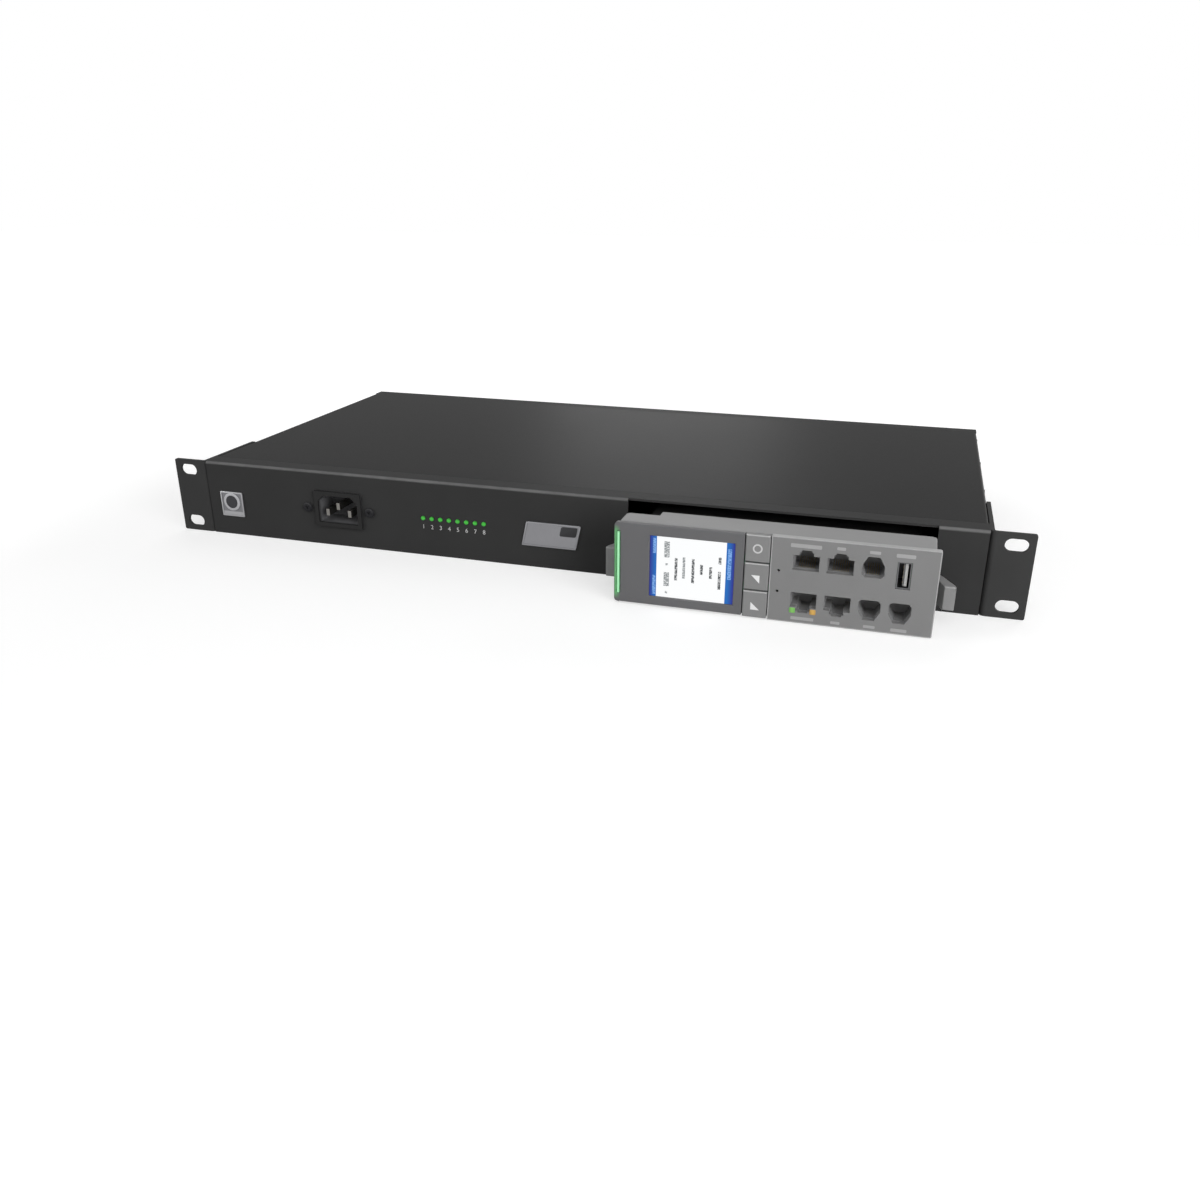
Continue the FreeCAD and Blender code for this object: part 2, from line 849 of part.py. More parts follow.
def controller_board():
    inset = tray_wall + tray_board_inset
    z = tray_bottom + tray_wall + tray_board_rise
    return box(tray_left + inset, tray_right - inset, head_back + inset, tray_rear - inset,
               z, z + board_thickness)


def dock_plug():
    block = bar(module_x, plug_width, tray_rear, plug_front, plug_z, plug_height)
    tongue = bar(module_x, tongue_width, plug_front, plug_front + tongue_length, plug_z, tongue_height)
    return block.fuse(tongue).removeSplitter()


def dock_socket():
    start = plug_front + slide_in + run_gap
    slot_end = plug_front + tongue_length + slide_in + socket_gap
    half_x = tongue_width / 2 + socket_gap
    half_z = tongue_height / 2 + socket_gap
    block = box(module_x - half_x - socket_wall, module_x + half_x + socket_wall, start, slot_end + socket_wall,
                board_top, plug_z + half_z + socket_wall)
    return block.cut(box(module_x - half_x, module_x + half_x, start - margin, slot_end,
                         plug_z - half_z, plug_z + half_z))


# Right-hand latch in plan: a straight arm from its root, a shoulder, and a flared finger tab
def right_latch(low, high):
    outer, inner = module_x + arm_offset, module_x + arm_offset - arm_thickness
    root_end = front_y + arm_root + root_length / 2
    shoulder = front_y - shoulder_front
    tab = front_y - tab_front
    tip = outer + flare_reach
    root_inner = tray_right + run_gap
    outline = [(outer, root_end), (outer, shoulder), (outer + flare_start, shoulder - arm_thickness / 2),
               (tip - arm_thickness / 4, tab + arm_thickness * 1.5), (tip, tab + arm_thickness / 2), (tip, tab),
               (tip - tab_width, tab), (outer + arm_thickness, shoulder - 2.5 * arm_thickness),
               (inner, shoulder - arm_thickness / 2), (inner, root_end - root_length),
               (root_inner, root_end - root_length), (root_inner, root_end)]
    latch = plan_prism(outline, low, high)
    latch = latch.makeFillet(tab_rounding, edges_along(latch, Vector(1, 0, 0), y=tab))
    nib_y = front_y + nib_middle
    half = nib_length / 2
    nib = [(outer, nib_y - half), (outer + nib_height, nib_y - half + nib_ramp),
           (outer + nib_height, nib_y + half - nib_ramp), (outer, nib_y + half)]
    return latch.fuse(plan_prism(nib, low, high)).removeSplitter()


def left_latch():
    return mirrored(right_latch(left_tab_low, left_tab_high), module_x)


# Right-hand rail: an upright with a groove for the latch nib, and a ledge under the sled
def right_guide_rail(low, high):
    face = module_x + arm_offset + run_gap
    rear = front_y + rail_length
    upright = box(face, face + rail_thickness, panel_back, rear, floor_top, floor_top + rail_height)
    ledge = box(tray_right - rail_ledge, face, panel_back, rear, floor_top, floor_top + rail_base)
    nib_y = front_y + nib_middle
    reach = nib_length / 2 + run_gap
    groove = box(face - margin, face + nib_height, nib_y - reach - slide_out, nib_y + reach + slide_in,
                 low - run_gap, high + run_gap)
    return upright.fuse(ledge).cut(groove).removeSplitter()


def left_guide_rail():
    return mirrored(right_guide_rail(left_tab_low, left_tab_high), module_x)


def control_board():
    return box(board_left, board_right, board_y0, board_y1, board_bottom, board_top)


def outlet_relays():
    y1 = rear_y - relay_rear_room
    z = board_top + relay_height / 2
    return Part.makeCompound([bar(x, relay_width, y1 - relay_length, y1, z, relay_height)
                              for x in outlet_places()])


def bus_bar(rear_room):
    y1 = rear_y - rear_room
    return box(board_left + bus_inset, board_right - bus_inset, y1 - bus_thickness, y1,
               board_top, board_top + bus_height)


def power_supply():
    y0 = front_y + supply_setback
    x0 = board_left + supply_inset
    block = box(x0, x0 + supply_width, y0, y0 + supply_length, board_top, board_top + supply_height)
    return block.makeFillet(supply_rounding, edges_along(block, Vector(0, 0, 1)))


def terminal_block():
    y1 = rear_y - terminal_rear_room
    y0 = y1 - terminal_depth
    top = floor_top + terminal_height
    shelf = top - terminal_step
    outline = [(y0, floor_top), (y1, floor_top), (y1, shelf), (y1 - terminal_step, shelf),
               (y1 - terminal_step, top), (y0 + terminal_step, top), (y0 + terminal_step, shelf), (y0, shelf)]
    block = side_prism(outline, gland_x - terminal_width / 2, gland_x + terminal_width / 2)
    way = terminal_width / terminal_ways
    holes = [rod_y(gland_x + (k - (terminal_ways - 1) / 2) * way, y0 - margin, y1 + margin,
                   (floor_top + shelf) / 2, terminal_hole_radius) for k in range(terminal_ways)]
    return block.cut(holes)


# The coupler lies on its side, so its cut corners and its earth slot face +X
def turned_coupler(x, width, height, chamfer):
    left, right = x - width / 2, x + width / 2
    half = height / 2
    return [(left, -half), (right - chamfer, -half), (right, -half + chamfer), (right, half - chamfer),
            (right - chamfer, half), (left, half)]


def contact_places(x):
    low = x - pin_offset / 2
    return [(low, -pin_spread / 2), (x + pin_offset / 2, 0), (low, pin_spread / 2)]


def outlet(x):
    half_z = outlet_block_height / 2
    seat = rear_y + outlet_flange_thickness
    flange = bar(x, outlet_pitch - outlet_gap, rear_y, seat, 0, outlet_flange_height)
    block = bar(x, outlet_block_width, seat, outlet_face, 0, outlet_block_height)
    block = block.makeChamfer(outlet_top_bevel, edges_along(block, Vector(1, 0, 0), y=outlet_face, z=half_z))
    block = block.makeChamfer(outlet_edge_bevel, edges_along(block, Vector(1, 0, 0), y=outlet_face, z=-half_z)
                              + edges_along(block, Vector(0, 0, 1), y=outlet_face))
    body = bar(x, outlet_body_width, rear_y - outlet_body_depth, rear_y, 0, outlet_body_height)
    ring = turned_coupler(x, groove_width, groove_height, groove_chamfer)
    core = turned_coupler(x, groove_width - 2 * groove_gap, groove_height - 2 * groove_gap,
                          groove_chamfer - groove_gap / 2)
    groove = front_prism(ring, groove_bottom, outlet_face + margin)
    cuts = [groove.cut(front_prism(core, groove_bottom - margin, outlet_face + 2 * margin))]
    for px, pz in contact_places(x):
        cuts.append(bar(px, slot_length, slot_bottom, outlet_face + margin, pz, slot_width))
    half_notch = outlet_notch_width / 2
    cuts.append(box(x - half_notch, x + half_notch, outlet_face - outlet_notch_depth, outlet_face + margin,
                    -half_z - margin, -half_z + outlet_notch_height))
    return body.fuse([flange, block]).cut(cuts).removeSplitter()


def outlet_contacts():
    end = slot_bottom + contact_length
    return Part.makeCompound([bar(px, contact_width, slot_bottom, end, pz, contact_thickness)
                              for x in outlet_places() for px, pz in contact_places(x)])


def gland_body():
    collar = hex_bar(gland_x, rear_y, gland_face, gland_flats)
    inner = rod_y(gland_x, rear_y - gland_inner, rear_y, 0, gland_thread_radius)
    stub = rod_y(gland_x, gland_face, gland_face + gland_stub, 0, gland_stub_radius)
    bore = rod_y(gland_x, rear_y - gland_inner - margin, gland_face + gland_stub + margin, 0, gland_bore_radius)
    return collar.fuse([inner, stub]).cut(bore).removeSplitter()


# Dome of the nut, an arc from the hexagon's flats to the lip, turned about the gland's axis
def nut_dome():
    across = gland_flats / 2
    belly = (nut_shoulder + nut_end) / 2
    arc = Part.Arc(Vector(gland_x + across, nut_shoulder, 0),
                   Vector(gland_x + across * gland_belly_ratio, belly, 0),
                   Vector(gland_x + gland_lip_radius, nut_end, 0)).toShape()
    rest = Part.makePolygon([Vector(gland_x + gland_lip_radius, nut_end, 0), Vector(gland_x, nut_end, 0),
                             Vector(gland_x, nut_shoulder, 0), Vector(gland_x + across, nut_shoulder, 0)])
    face = Part.Face(Part.Wire([arc] + rest.Edges))
    return face.revolve(Vector(gland_x, 0, 0), Vector(0, 1, 0), 360)


def gland_nut():
    hexed = hex_bar(gland_x, nut_start, nut_shoulder, gland_flats)
    nut = hexed.fuse(nut_dome())
    room = gland_stub_radius + hole_clearance
    hollow = rod_y(gland_x, nut_start - margin, nut_end - gland_lip, 0, room)
    mouth = rod_y(gland_x, nut_start - margin, nut_end + margin, 0, gland_mouth_radius)
    return nut.cut([hollow, mouth]).removeSplitter()


def gland_seal():
    start = gland_face + gland_stub
    ring = rod_y(gland_x, start, nut_end - gland_lip, 0, gland_stub_radius)
    return ring.cut(rod_y(gland_x, start - margin, nut_end, 0, seal_bore_radius))


def gland_locknut():
    nut = hex_bar(gland_x, wall_front - locknut_thickness, wall_front, locknut_flats)
    return nut.cut(rod_y(gland_x, wall_front - locknut_thickness - margin, wall_front + margin, 0,
                         gland_thread_radius + hole_clearance))


def all_parts():
    parts = {
        "chassis_base": chassis_base(), "front_panel": front_panel(), "rear_panel": rear_panel(),
        "top_cover": top_cover(), "right_rack_ear": right_rack_ear(),
        "left_rack_ear": mirrored(right_rack_ear(), 0),
        "ear_screws": ear_screws(), "cover_screws": cover_screws(),
        "inlet_housing": inlet_housing(), "inlet_pins": inlet_pins(), "inlet_screws": inlet_screws(),
        "light_pipes": light_pipes(), "light_board": light_board(),
        "controller_housing": controller_housing(), "port_plate": port_plate(),
        "display_bezel": display_bezel(), "display_screen": display_screen(),
        "status_light_bar": status_light_bar(), "usb_port": usb_port(),
        "controller_front_board": controller_front_board(), "controller_tray": controller_tray(),
        "controller_lid": controller_lid(), "controller_board": controller_board(), "dock_plug": dock_plug(),
        "left_latch": left_latch(), "right_latch": right_latch(right_tab_low, right_tab_high),
        "left_guide_rail": left_guide_rail(),
        "right_guide_rail": right_guide_rail(right_tab_low, right_tab_high),
        "control_board": control_board(), "dock_socket": dock_socket(), "outlet_relays": outlet_relays(),
        "live_bus_bar": bus_bar(live_rear_room), "neutral_bus_bar": bus_bar(neutral_rear_room),
        "power_supply": power_supply(), "terminal_block": terminal_block(),
        "outlet_contacts": outlet_contacts(), "gland_body": gland_body(), "gland_nut": gland_nut(),
        "gland_seal": gland_seal(), "gland_locknut": gland_locknut(),
    }
    for name, z in key_places().items():
        parts[name] = push_key(z)
    for name, x, width, foot, side in jack_places():
        parts[name] = modular_jack(x, width, foot, side)
    for number, x in enumerate(outlet_places(), 1):
        parts[f"outlet_{number}"] = outlet(x)
    return parts


os.makedirs("parts", exist_ok=True)
for name, shape in all_parts().items():
    shape.exportStep(f"parts/{name}.step")
print("wrote the parts")
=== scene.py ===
import math

import bpy
from mathutils import Matrix, Vector


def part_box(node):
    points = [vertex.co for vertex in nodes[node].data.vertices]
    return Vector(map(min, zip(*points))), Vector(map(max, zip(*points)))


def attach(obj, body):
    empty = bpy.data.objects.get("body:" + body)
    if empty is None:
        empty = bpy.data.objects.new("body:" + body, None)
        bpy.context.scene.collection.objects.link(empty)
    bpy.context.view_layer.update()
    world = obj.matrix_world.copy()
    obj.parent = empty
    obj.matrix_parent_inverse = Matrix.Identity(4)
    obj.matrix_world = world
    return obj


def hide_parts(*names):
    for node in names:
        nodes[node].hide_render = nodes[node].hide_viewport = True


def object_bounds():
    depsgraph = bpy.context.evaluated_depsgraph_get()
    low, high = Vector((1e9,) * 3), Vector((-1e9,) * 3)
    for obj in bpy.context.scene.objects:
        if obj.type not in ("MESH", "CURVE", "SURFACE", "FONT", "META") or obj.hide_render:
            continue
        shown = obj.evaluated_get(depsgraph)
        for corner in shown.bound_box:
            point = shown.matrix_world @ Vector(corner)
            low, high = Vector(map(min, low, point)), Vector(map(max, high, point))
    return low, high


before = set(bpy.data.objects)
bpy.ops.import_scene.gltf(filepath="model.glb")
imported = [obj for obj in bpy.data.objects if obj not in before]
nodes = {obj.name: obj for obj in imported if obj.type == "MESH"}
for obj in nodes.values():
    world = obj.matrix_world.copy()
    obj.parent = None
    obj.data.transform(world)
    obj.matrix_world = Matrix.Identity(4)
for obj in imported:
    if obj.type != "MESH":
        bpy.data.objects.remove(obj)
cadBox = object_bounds()
mm = 0.001
bpy.ops.object.select_all(action="DESELECT")
print("frame loaded:", len(nodes), "nodes")


class Wire:  # one shader socket that can stand in a sum
    def __init__(self, look, socket):
        self.look = look
        self.socket = socket

    def sum(self, operation, first, second=0.0):
        return self.look.node("ShaderNodeMath", {"operation": operation}, {0: first, 1: second})

    def __add__(self, other):
        return self.sum("ADD", self, other)

    def __radd__(self, other):
        return self.sum("ADD", other, self)

    def __sub__(self, other):
        return self.sum("SUBTRACT", self, other)

    def __rsub__(self, other):
        return self.sum("SUBTRACT", other, self)

    def __mul__(self, other):
        return self.sum("MULTIPLY", self, other)

    def __rmul__(self, other):
        return self.sum("MULTIPLY", other, self)

    def __truediv__(self, other):
        return self.sum("DIVIDE", self, other)

    def __rtruediv__(self, other):
        return self.sum("DIVIDE", other, self)

    def __gt__(self, other):
        return self.sum("GREATER_THAN", self, other)

    def __lt__(self, other):
        return self.sum("LESS_THAN", self, other)

    def __and__(self, other):
        return self.sum("MINIMUM", self, other)

    def __or__(self, other):
        return self.sum("MAXIMUM", self, other)

    __rand__ = __and__
    __ror__ = __or__

    def __abs__(self):
        return self.sum("ABSOLUTE", self)

    def held(self):  # kept between 0 and 1
        return (self & 1.0) | 0.0


class Look:  # one material, or the world, being mixed
    def __init__(self, name, world=None):
        self.material = world or bpy.data.materials.new(name)
        self.material.use_nodes = True
        self.tree = self.material.node_tree
        if not world:
            self.shader = self.tree.nodes["Principled BSDF"]
            self.place = self.node("ShaderNodeTexCoord", out="Object")

    def feed(self, target, value):  # a wire is linked, anything else is set
        if isinstance(value, Wire):
            self.tree.links.new(value.socket, target)
        else:
            target.default_value = value

    def node(self, kind, settings=None, sockets=None, out=0):
        made = self.tree.nodes.new(kind)
        for key, value in (settings or {}).items():
            setattr(made, key, value)
        for key, value in (sockets or {}).items():
            self.feed(made.inputs[key], value)
        return Wire(self, made.outputs[out])

    def noise(self, scale, detail=2.0, stretch=None):
        where = self.place
        if stretch:
            where = self.node("ShaderNodeMapping", sockets={"Vector": where, "Scale": stretch})
        return self.node("ShaderNodeTexNoise", sockets={"Vector": where, "Scale": scale, "Detail": detail})

    def axes(self, vector=None):  # x, y and z of a vector, or of the place on the piece
        split = self.node("ShaderNodeSeparateXYZ", sockets={0: vector or self.place})
        outputs = split.socket.node.outputs
        return [Wire(self, outputs[k]) for k in range(3)]

    def face(self):  # across and up on a front face
        return self.axes()[::2]

    def distance(self, across, up):
        return self.node("ShaderNodeMath", {"operation": "SQRT"}, {0: across * across + up * up})

    def shade(self, amount, first, second):
        return self.node("ShaderNodeMix", {"data_type": "RGBA"}, {0: amount, 6: first, 7: second}, 2)

    def bump(self, height, strength, depth):
        sockets = {"Height": height, "Strength": strength, "Distance": depth}
        return self.node("ShaderNodeBump", sockets=sockets)

    def paint(self, **sockets):
        for key, value in sockets.items():
            self.feed(self.shader.inputs[key.replace("_", " ")], value)
        return self

    def tone(self):  # what the base colour is so far, to be painted over
        return Wire(self, self.shader.inputs["Base Color"].links[0].from_socket)


def rgb(code, gain=1.0):  # screen colour to linear
    parts = [int(code[k:k + 2], 16) / 255 for k in (1, 3, 5)]
    linear = [p / 12.92 if p <= 0.04045 else ((p + 0.055) / 1.055) ** 2.4 for p in parts]
    return tuple(min(1.0, p * gain) for p in linear) + (1.0,)


def grey(level):
    return (level, level, level, 1)


def mixOf(first, second, share):  # that share of the first, the rest of the second
    return first * share + second * (1 - share)


# gain and noise detail of the painted highlight on folds and rims
paintedSheen = {"foldGain": 2.4, "detail": 3.0}


def foldMask(look):  # 1 on a rounded edge between an upright face and a top face
    facing = look.axes(look.node("ShaderNodeNewGeometry", out="Normal"))
    return (abs(facing[1]) * facing[2] * paintedSheen["foldGain"]).held()


def patchy(look, mask, least, more, scale, detail=paintedSheen["detail"]):  # breaks a painted-highlight mask up into patches
    return mask * (least + look.noise(scale, detail) * more) & 1.0


# the fold colour here is a painted highlight laid on the folds
paintCoat = {"peelScale": 1700, "cloudScale": 23, "detail": 3.0, "speckScale": 5200, "speckDetail": 1.0,
             "dark": 0.84, "light": 1.18, "cloudShare": 0.8, "peelShare": 0.7, "depth": 0.00006,
             "sheenLeast": 0.45, "sheenMore": 0.9, "sheenScale": 70, "foldSheen": "#6c6c6c",
             "roughSpread": 0.12, "roughCloud": 0.04, "specular": 0.01}


def powderCoat(name, code, rough, peel, foldSheen=paintCoat["foldSheen"]):  # orange-peel paint, with a painted highlight on the folds
    p = paintCoat
    look = Look(name)
    fine = look.noise(p["peelScale"], p["detail"])
    cloud = look.noise(p["cloudScale"], p["detail"])
    speck = look.noise(p["speckScale"], p["speckDetail"])
    tone = look.shade(mixOf(cloud, speck, p["cloudShare"]), rgb(code, p["dark"]), rgb(code, p["light"]))
    sheenMask = patchy(look, foldMask(look), p["sheenLeast"], p["sheenMore"], p["sheenScale"])
    dull = rough - p["roughSpread"] / 2 + fine * p["roughSpread"] + cloud * p["roughCloud"]
    skin = look.bump(mixOf(fine, speck, p["peelShare"]), peel, p["depth"])
    return look.paint(Base_Color=look.shade(sheenMask, tone, rgb(foldSheen)), Roughness=dull,
                      Specular_IOR_Level=p["specular"], Normal=skin)


mouldGrain = {"scale": 3600, "cloudScale": 38, "cloudShare": 0.7, "dark": 0.9, "light": 1.1, "depth": 0.00005,
              "sheenLeast": 0.6, "sheenMore": 0.8, "sheenScale": 90, "roughSpread": 0.1, "specular": 0.04}


def mouldedPlastic(name, code, rough, grain, specular=mouldGrain["specular"], edge=None):
    p = mouldGrain  # spark-eroded texture, and where edge is given, a painted highlight on the folds, that many times as bright
    look = Look(name)
    fine, cloud = look.noise(p["scale"]), look.noise(p["cloudScale"])
    tone = look.shade(mixOf(cloud, fine, p["cloudShare"]), rgb(code, p["dark"]), rgb(code, p["light"]))
    if edge:
        sheenMask = patchy(look, foldMask(look), p["sheenLeast"], p["sheenMore"], p["sheenScale"])
        tone = look.shade(sheenMask, tone, rgb(code, edge))
    dull = rough - p["roughSpread"] / 2 + fine * p["roughSpread"]
    return look.paint(Base_Color=tone, Roughness=dull, Specular_IOR_Level=specular,
                      Normal=look.bump(fine, grain, p["depth"]))


deepGrain = {"rough": 0.42, "roughSpread": 0.12, "grain": 0.1, "specular": 0.2}


def paintedFillPlastic(name, mouth, inside, start, depth):  # one tone at the mouth and a lighter one further in, as painted fill light against the shade in the hollow
    p = deepGrain
    look = Look(name)
    fine = look.noise(mouldGrain["scale"])
    far = ((look.axes()[1] - start * mm) / (depth * mm)).held()
    return look.paint(Base_Color=look.shade(far, rgb(mouth), rgb(inside)),
                      Roughness=p["rough"] + fine * p["roughSpread"], Specular_IOR_Level=p["specular"],
                      Normal=look.bump(fine, p["grain"], mouldGrain["depth"]))


metalGrain = {"streakScale": 900, "streakDetail": 3.0, "cloudScale": 60, "streakShare": 0.6, "dark": 0.82,
              "light": 1.12, "roughLess": 0.06, "roughSpread": 0.14, "grain": 0.08, "depth": 0.00003}


def metal(name, code, rough, stretch):  # drawn or plated metal with fine streaks
    p = metalGrain
    look = Look(name)
    streak = look.noise(p["streakScale"], p["streakDetail"], stretch)
    cloud = look.noise(p["cloudScale"])
    tone = look.shade(mixOf(streak, cloud, p["streakShare"]), rgb(code, p["dark"]), rgb(code, p["light"]))
    return look.paint(Base_Color=tone, Metallic=1.0,
                      Roughness=rough - p["roughLess"] + streak * p["roughSpread"],
                      Normal=look.bump(streak, p["grain"], p["depth"]))


boardTracks = {"scale": 90.0, "line": 0.03, "shift": 0.3, "faint": 0.7, "ground": "#2a884e",
               "track": "#16532f", "rough": 0.3, "roughSpread": 0.1, "grainScale": 300}


def circuitBoard(name, p):  # solder resist over copper tracks
    look = Look(name)
    tracks = look.node("ShaderNodeTexBrick", {"offset": p["shift"]},
                       {"Vector": look.place, "Color1": grey(1), "Color2": grey(p["faint"]),
                        "Mortar": grey(0), "Scale": p["scale"], "Mortar Size": p["line"]})
    return look.paint(Base_Color=look.shade(tracks, rgb(p["ground"]), rgb(p["track"])),
                      Roughness=p["rough"] + look.noise(p["grainScale"]) * p["roughSpread"])


def strip(x, z, x0, x1, z0, z1):  # 1 inside that rectangle of the face
    return (x > x0 * mm) & (x < x1 * mm) & (z > z0 * mm) & (z < z1 * mm)


def marks(x, z, places):  # 1 inside any of those rectangles
    found = strip(x, z, *places[0])
    for place in places[1:]:
        found = found | strip(x, z, *place)
    return found


def within(x, z, node, margin):  # 1 on the face of a node, less a margin all round
    low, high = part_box(node)
    sides = (low.x / mm + margin, high.x / mm - margin, low.z / mm + margin, high.z / mm - margin)
    return strip(x, z, *sides)


screenPage = {  # rectangles are left, right, low and high, in millimetres on the face
    "bars": [(61.0, 64.6, -17.0, 16.0), (99.3, 103.6, -17.0, 16.0)],
    "dark": [(73.8, 75.2, -6.8, 5.1), (82.4, 83.8, -7.3, 5.6), (86.6, 88.0, -2.3, 2.9),
             (91.2, 92.6, -3.9, 2.2), (95.6, 97.0, -9.1, 0.3), (95.6, 97.0, 4.1, 7.7)],
    "pale": [(68.4, 71.1, 4.9, 13.3), (69.2, 70.4, 0.7, 1.9), (68.4, 71.1, -10.3, -2.9),
             (69.2, 70.4, -14.2, -12.9), (77.8, 79.1, -5.3, 6.0)],
    "titles": [(62.7, 64.2, 6.6, 14.6), (62.7, 64.2, -15.2, -5.0), (100.1, 101.9, -3.4, 12.4)],
    "middle": 82.2, "half": 18.3, "fade": 2.6,
    "paper": ("#ffffff", "#f2f6f8"), "paperScale": 9, "paperShare": 0.5,
    "paleInk": "#8b9092", "darkInk": "#515456", "titleInk": "#8ab8f0", "titleShare": 0.8,
    "blue": ("#1f68b8", "#2b3590"),
    "inkScale": 2300, "inkDetail": 1.0, "inkStretch": (0.35, 1.0, 1.0), "inkCut": 0.45, "inkLeast": 0.25,
    "glass": (0.004, 0.004, 0.005, 1), "rough": 0.2, "roughSpread": 0.05, "roughScale": 200, "specular": 0.15,
}


def litScreen(name, p):  # backlit panel: pale page, two blue margins, broken rows of marks
    look = Look(name)
    x, z = look.face()
    dots = look.noise(p["inkScale"], p["inkDetail"], p["inkStretch"]) > p["inkCut"]
    ink = p["inkLeast"] + dots * (1 - p["inkLeast"])
    page = look.shade(look.noise(p["paperScale"]) * p["paperShare"], *map(rgb, p["paper"]))
    page = look.shade(marks(x, z, p["pale"]) * ink, page, rgb(p["paleInk"]))
    page = look.shade(marks(x, z, p["dark"]) * ink, page, rgb(p["darkInk"]))
    outer = (abs(x - p["middle"] * mm) - p["half"] * mm) / (p["fade"] * mm)  # from the page outwards
    blue = look.shade(outer.held(), *map(rgb, p["blue"]))
    blue = look.shade(marks(x, z, p["titles"]) * ink * p["titleShare"], blue, rgb(p["titleInk"]))
    return look.paint(Base_Color=p["glass"], Specular_IOR_Level=p["specular"], Emission_Strength=1.0,
                      Roughness=p["rough"] + look.noise(p["roughScale"]) * p["roughSpread"],
                      Emission_Color=look.shade(marks(x, z, p["bars"]), page, blue))


lens = {"rimShare": 0.85, "cloudShare": 0.1, "cloudScale": 700, "rough": 0.3, "roughSpread": 0.08,
        "roughScale": 900, "coat": 0.3}


def glow(name, core, rim, strength, axis, middle, reach):  # translucent lens, brightest along its middle
    look = Look(name)
    away = abs(look.axes()[axis] - middle * mm) / (reach * mm) & 1.0
    cloud = look.noise(lens["cloudScale"]) * lens["cloudShare"]
    tone = look.shade(away * lens["rimShare"] + cloud, rgb(core), rgb(rim))
    return look.paint(Base_Color=tone, Emission_Color=tone, Emission_Strength=strength,
                      Roughness=lens["rough"] + look.noise(lens["roughScale"]) * lens["roughSpread"],
                      Coat_Weight=lens["coat"])


# the glow keys set the green light painted onto the bezel beside the bar
lightBar = {"x": 45.1, "reach": 0.9, "core": "#b5f3c4", "rim": "#51c26c", "strength": 0.06, "paintedGlow": "#65ae70",
            "paintedGlowX": 43.9, "paintedGlowReach": 2.2, "paintedGlowHalf": 16.6, "paintedGlowFade": 3.0, "paintedGlowShare": 0.9}
displayBezel = {"tones": ("#6c6c6e", "#636364"), "rough": 0.42, "roughSpread": 0.1, "grain": 0.1}


def litBezel(name, p, bar):  # grey bezel with a painted glow from the light bar beside it
    look = Look(name)
    x, z = look.face()
    fine, cloud = look.noise(mouldGrain["scale"]), look.noise(mouldGrain["cloudScale"])
    tone = look.shade(mixOf(cloud, fine, mouldGrain["cloudShare"]), *map(rgb, p["tones"]))
    near = (1.0 - abs(x - bar["paintedGlowX"] * mm) / (bar["paintedGlowReach"] * mm)) | 0.0
    ends = (1.0 - (abs(z) - bar["paintedGlowHalf"] * mm) / (bar["paintedGlowFade"] * mm)).held()
    return look.paint(Base_Color=look.shade(near * ends * bar["paintedGlowShare"], tone, rgb(bar["paintedGlow"])),
                      Roughness=p["rough"] + fine * p["roughSpread"],
                      Specular_IOR_Level=mouldGrain["specular"],
                      Normal=look.bump(fine, p["grain"], mouldGrain["depth"]))


# the inside tone is painted shade, and the pale half of the tongue a painted highlight
usbFinish = {"wall": 0.6, "tongueLeft": -0.45, "tongueRight": 1.65, "highlightLeft": 0.4, "stretch": (1, 1, 6),
             "shell": ("#5a5b5c", "#7c7d7e"), "inside": "#262627", "tongue": "#4e4e4e", "tongueHighlight": "#a9a9a7",
             "rough": 0.32, "roughSpread": 0.15}


def usbShell(name, p):  # dull shell, painted shade inside the opening, dark tongue with a painted highlight on one half
    look = Look(name)
    low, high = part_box("usb_port")
    x, z = look.face()
    across = x - (low.x + high.x) / 2
    inside = within(x, z, "usb_port", p["wall"])
    tongue = inside & (across > p["tongueLeft"] * mm) & (across < p["tongueRight"] * mm)
    streak = look.noise(metalGrain["streakScale"], metalGrain["streakDetail"], p["stretch"])
    tone = look.shade(streak, *map(rgb, p["shell"]))
    tone = look.shade(inside, tone, rgb(p["inside"]))
    tone = look.shade(tongue, tone, rgb(p["tongue"]))
    tone = look.shade(tongue & (across > p["highlightLeft"] * mm), tone, rgb(p["tongueHighlight"]))
    return look.paint(Base_Color=tone, Metallic=1.0 - inside,
                      Roughness=p["rough"] + streak * p["roughSpread"])


# the rim of the port plate carries a painted highlight
portPlate = {"tone": "#7e7e7e", "rough": 0.52, "grain": 0.14, "rim": 0.45, "rimSheenGain": 1.9,
             "sheenLeast": 0.5, "sheenMore": 0.8, "sheenScale": 120, "sheenDetail": 2.0}


def rimHighlightPlate(name, node, p):  # moulded face with a painted highlight along its outer edge
    look = mouldedPlastic(name, p["tone"], p["rough"], p["grain"])
    x, z = look.face()
    outer = 1.0 - within(x, z, node, p["rim"])
    rimSheen = patchy(look, outer, p["sheenLeast"], p["sheenMore"], p["sheenScale"], p["sheenDetail"])
    return look.paint(Base_Color=look.shade(rimSheen, look.tone(), rgb(p["tone"], p["rimSheenGain"])))


keyMarks = {"tone": "#828282", "rough": 0.5, "grain": 0.12, "edge": 1.9, "printDepth": 0.3,
            "ring": (1.6, 2.35), "ringInk": "#c4c4c4", "arrowInk": "#e2e2e2",
            "up": ((1.7, 0.8), (-4.1, -4.0)),  # an arrow's square corner, then its legs
            "down": ((-1.9, -2.8), (4.3, 3.9))}


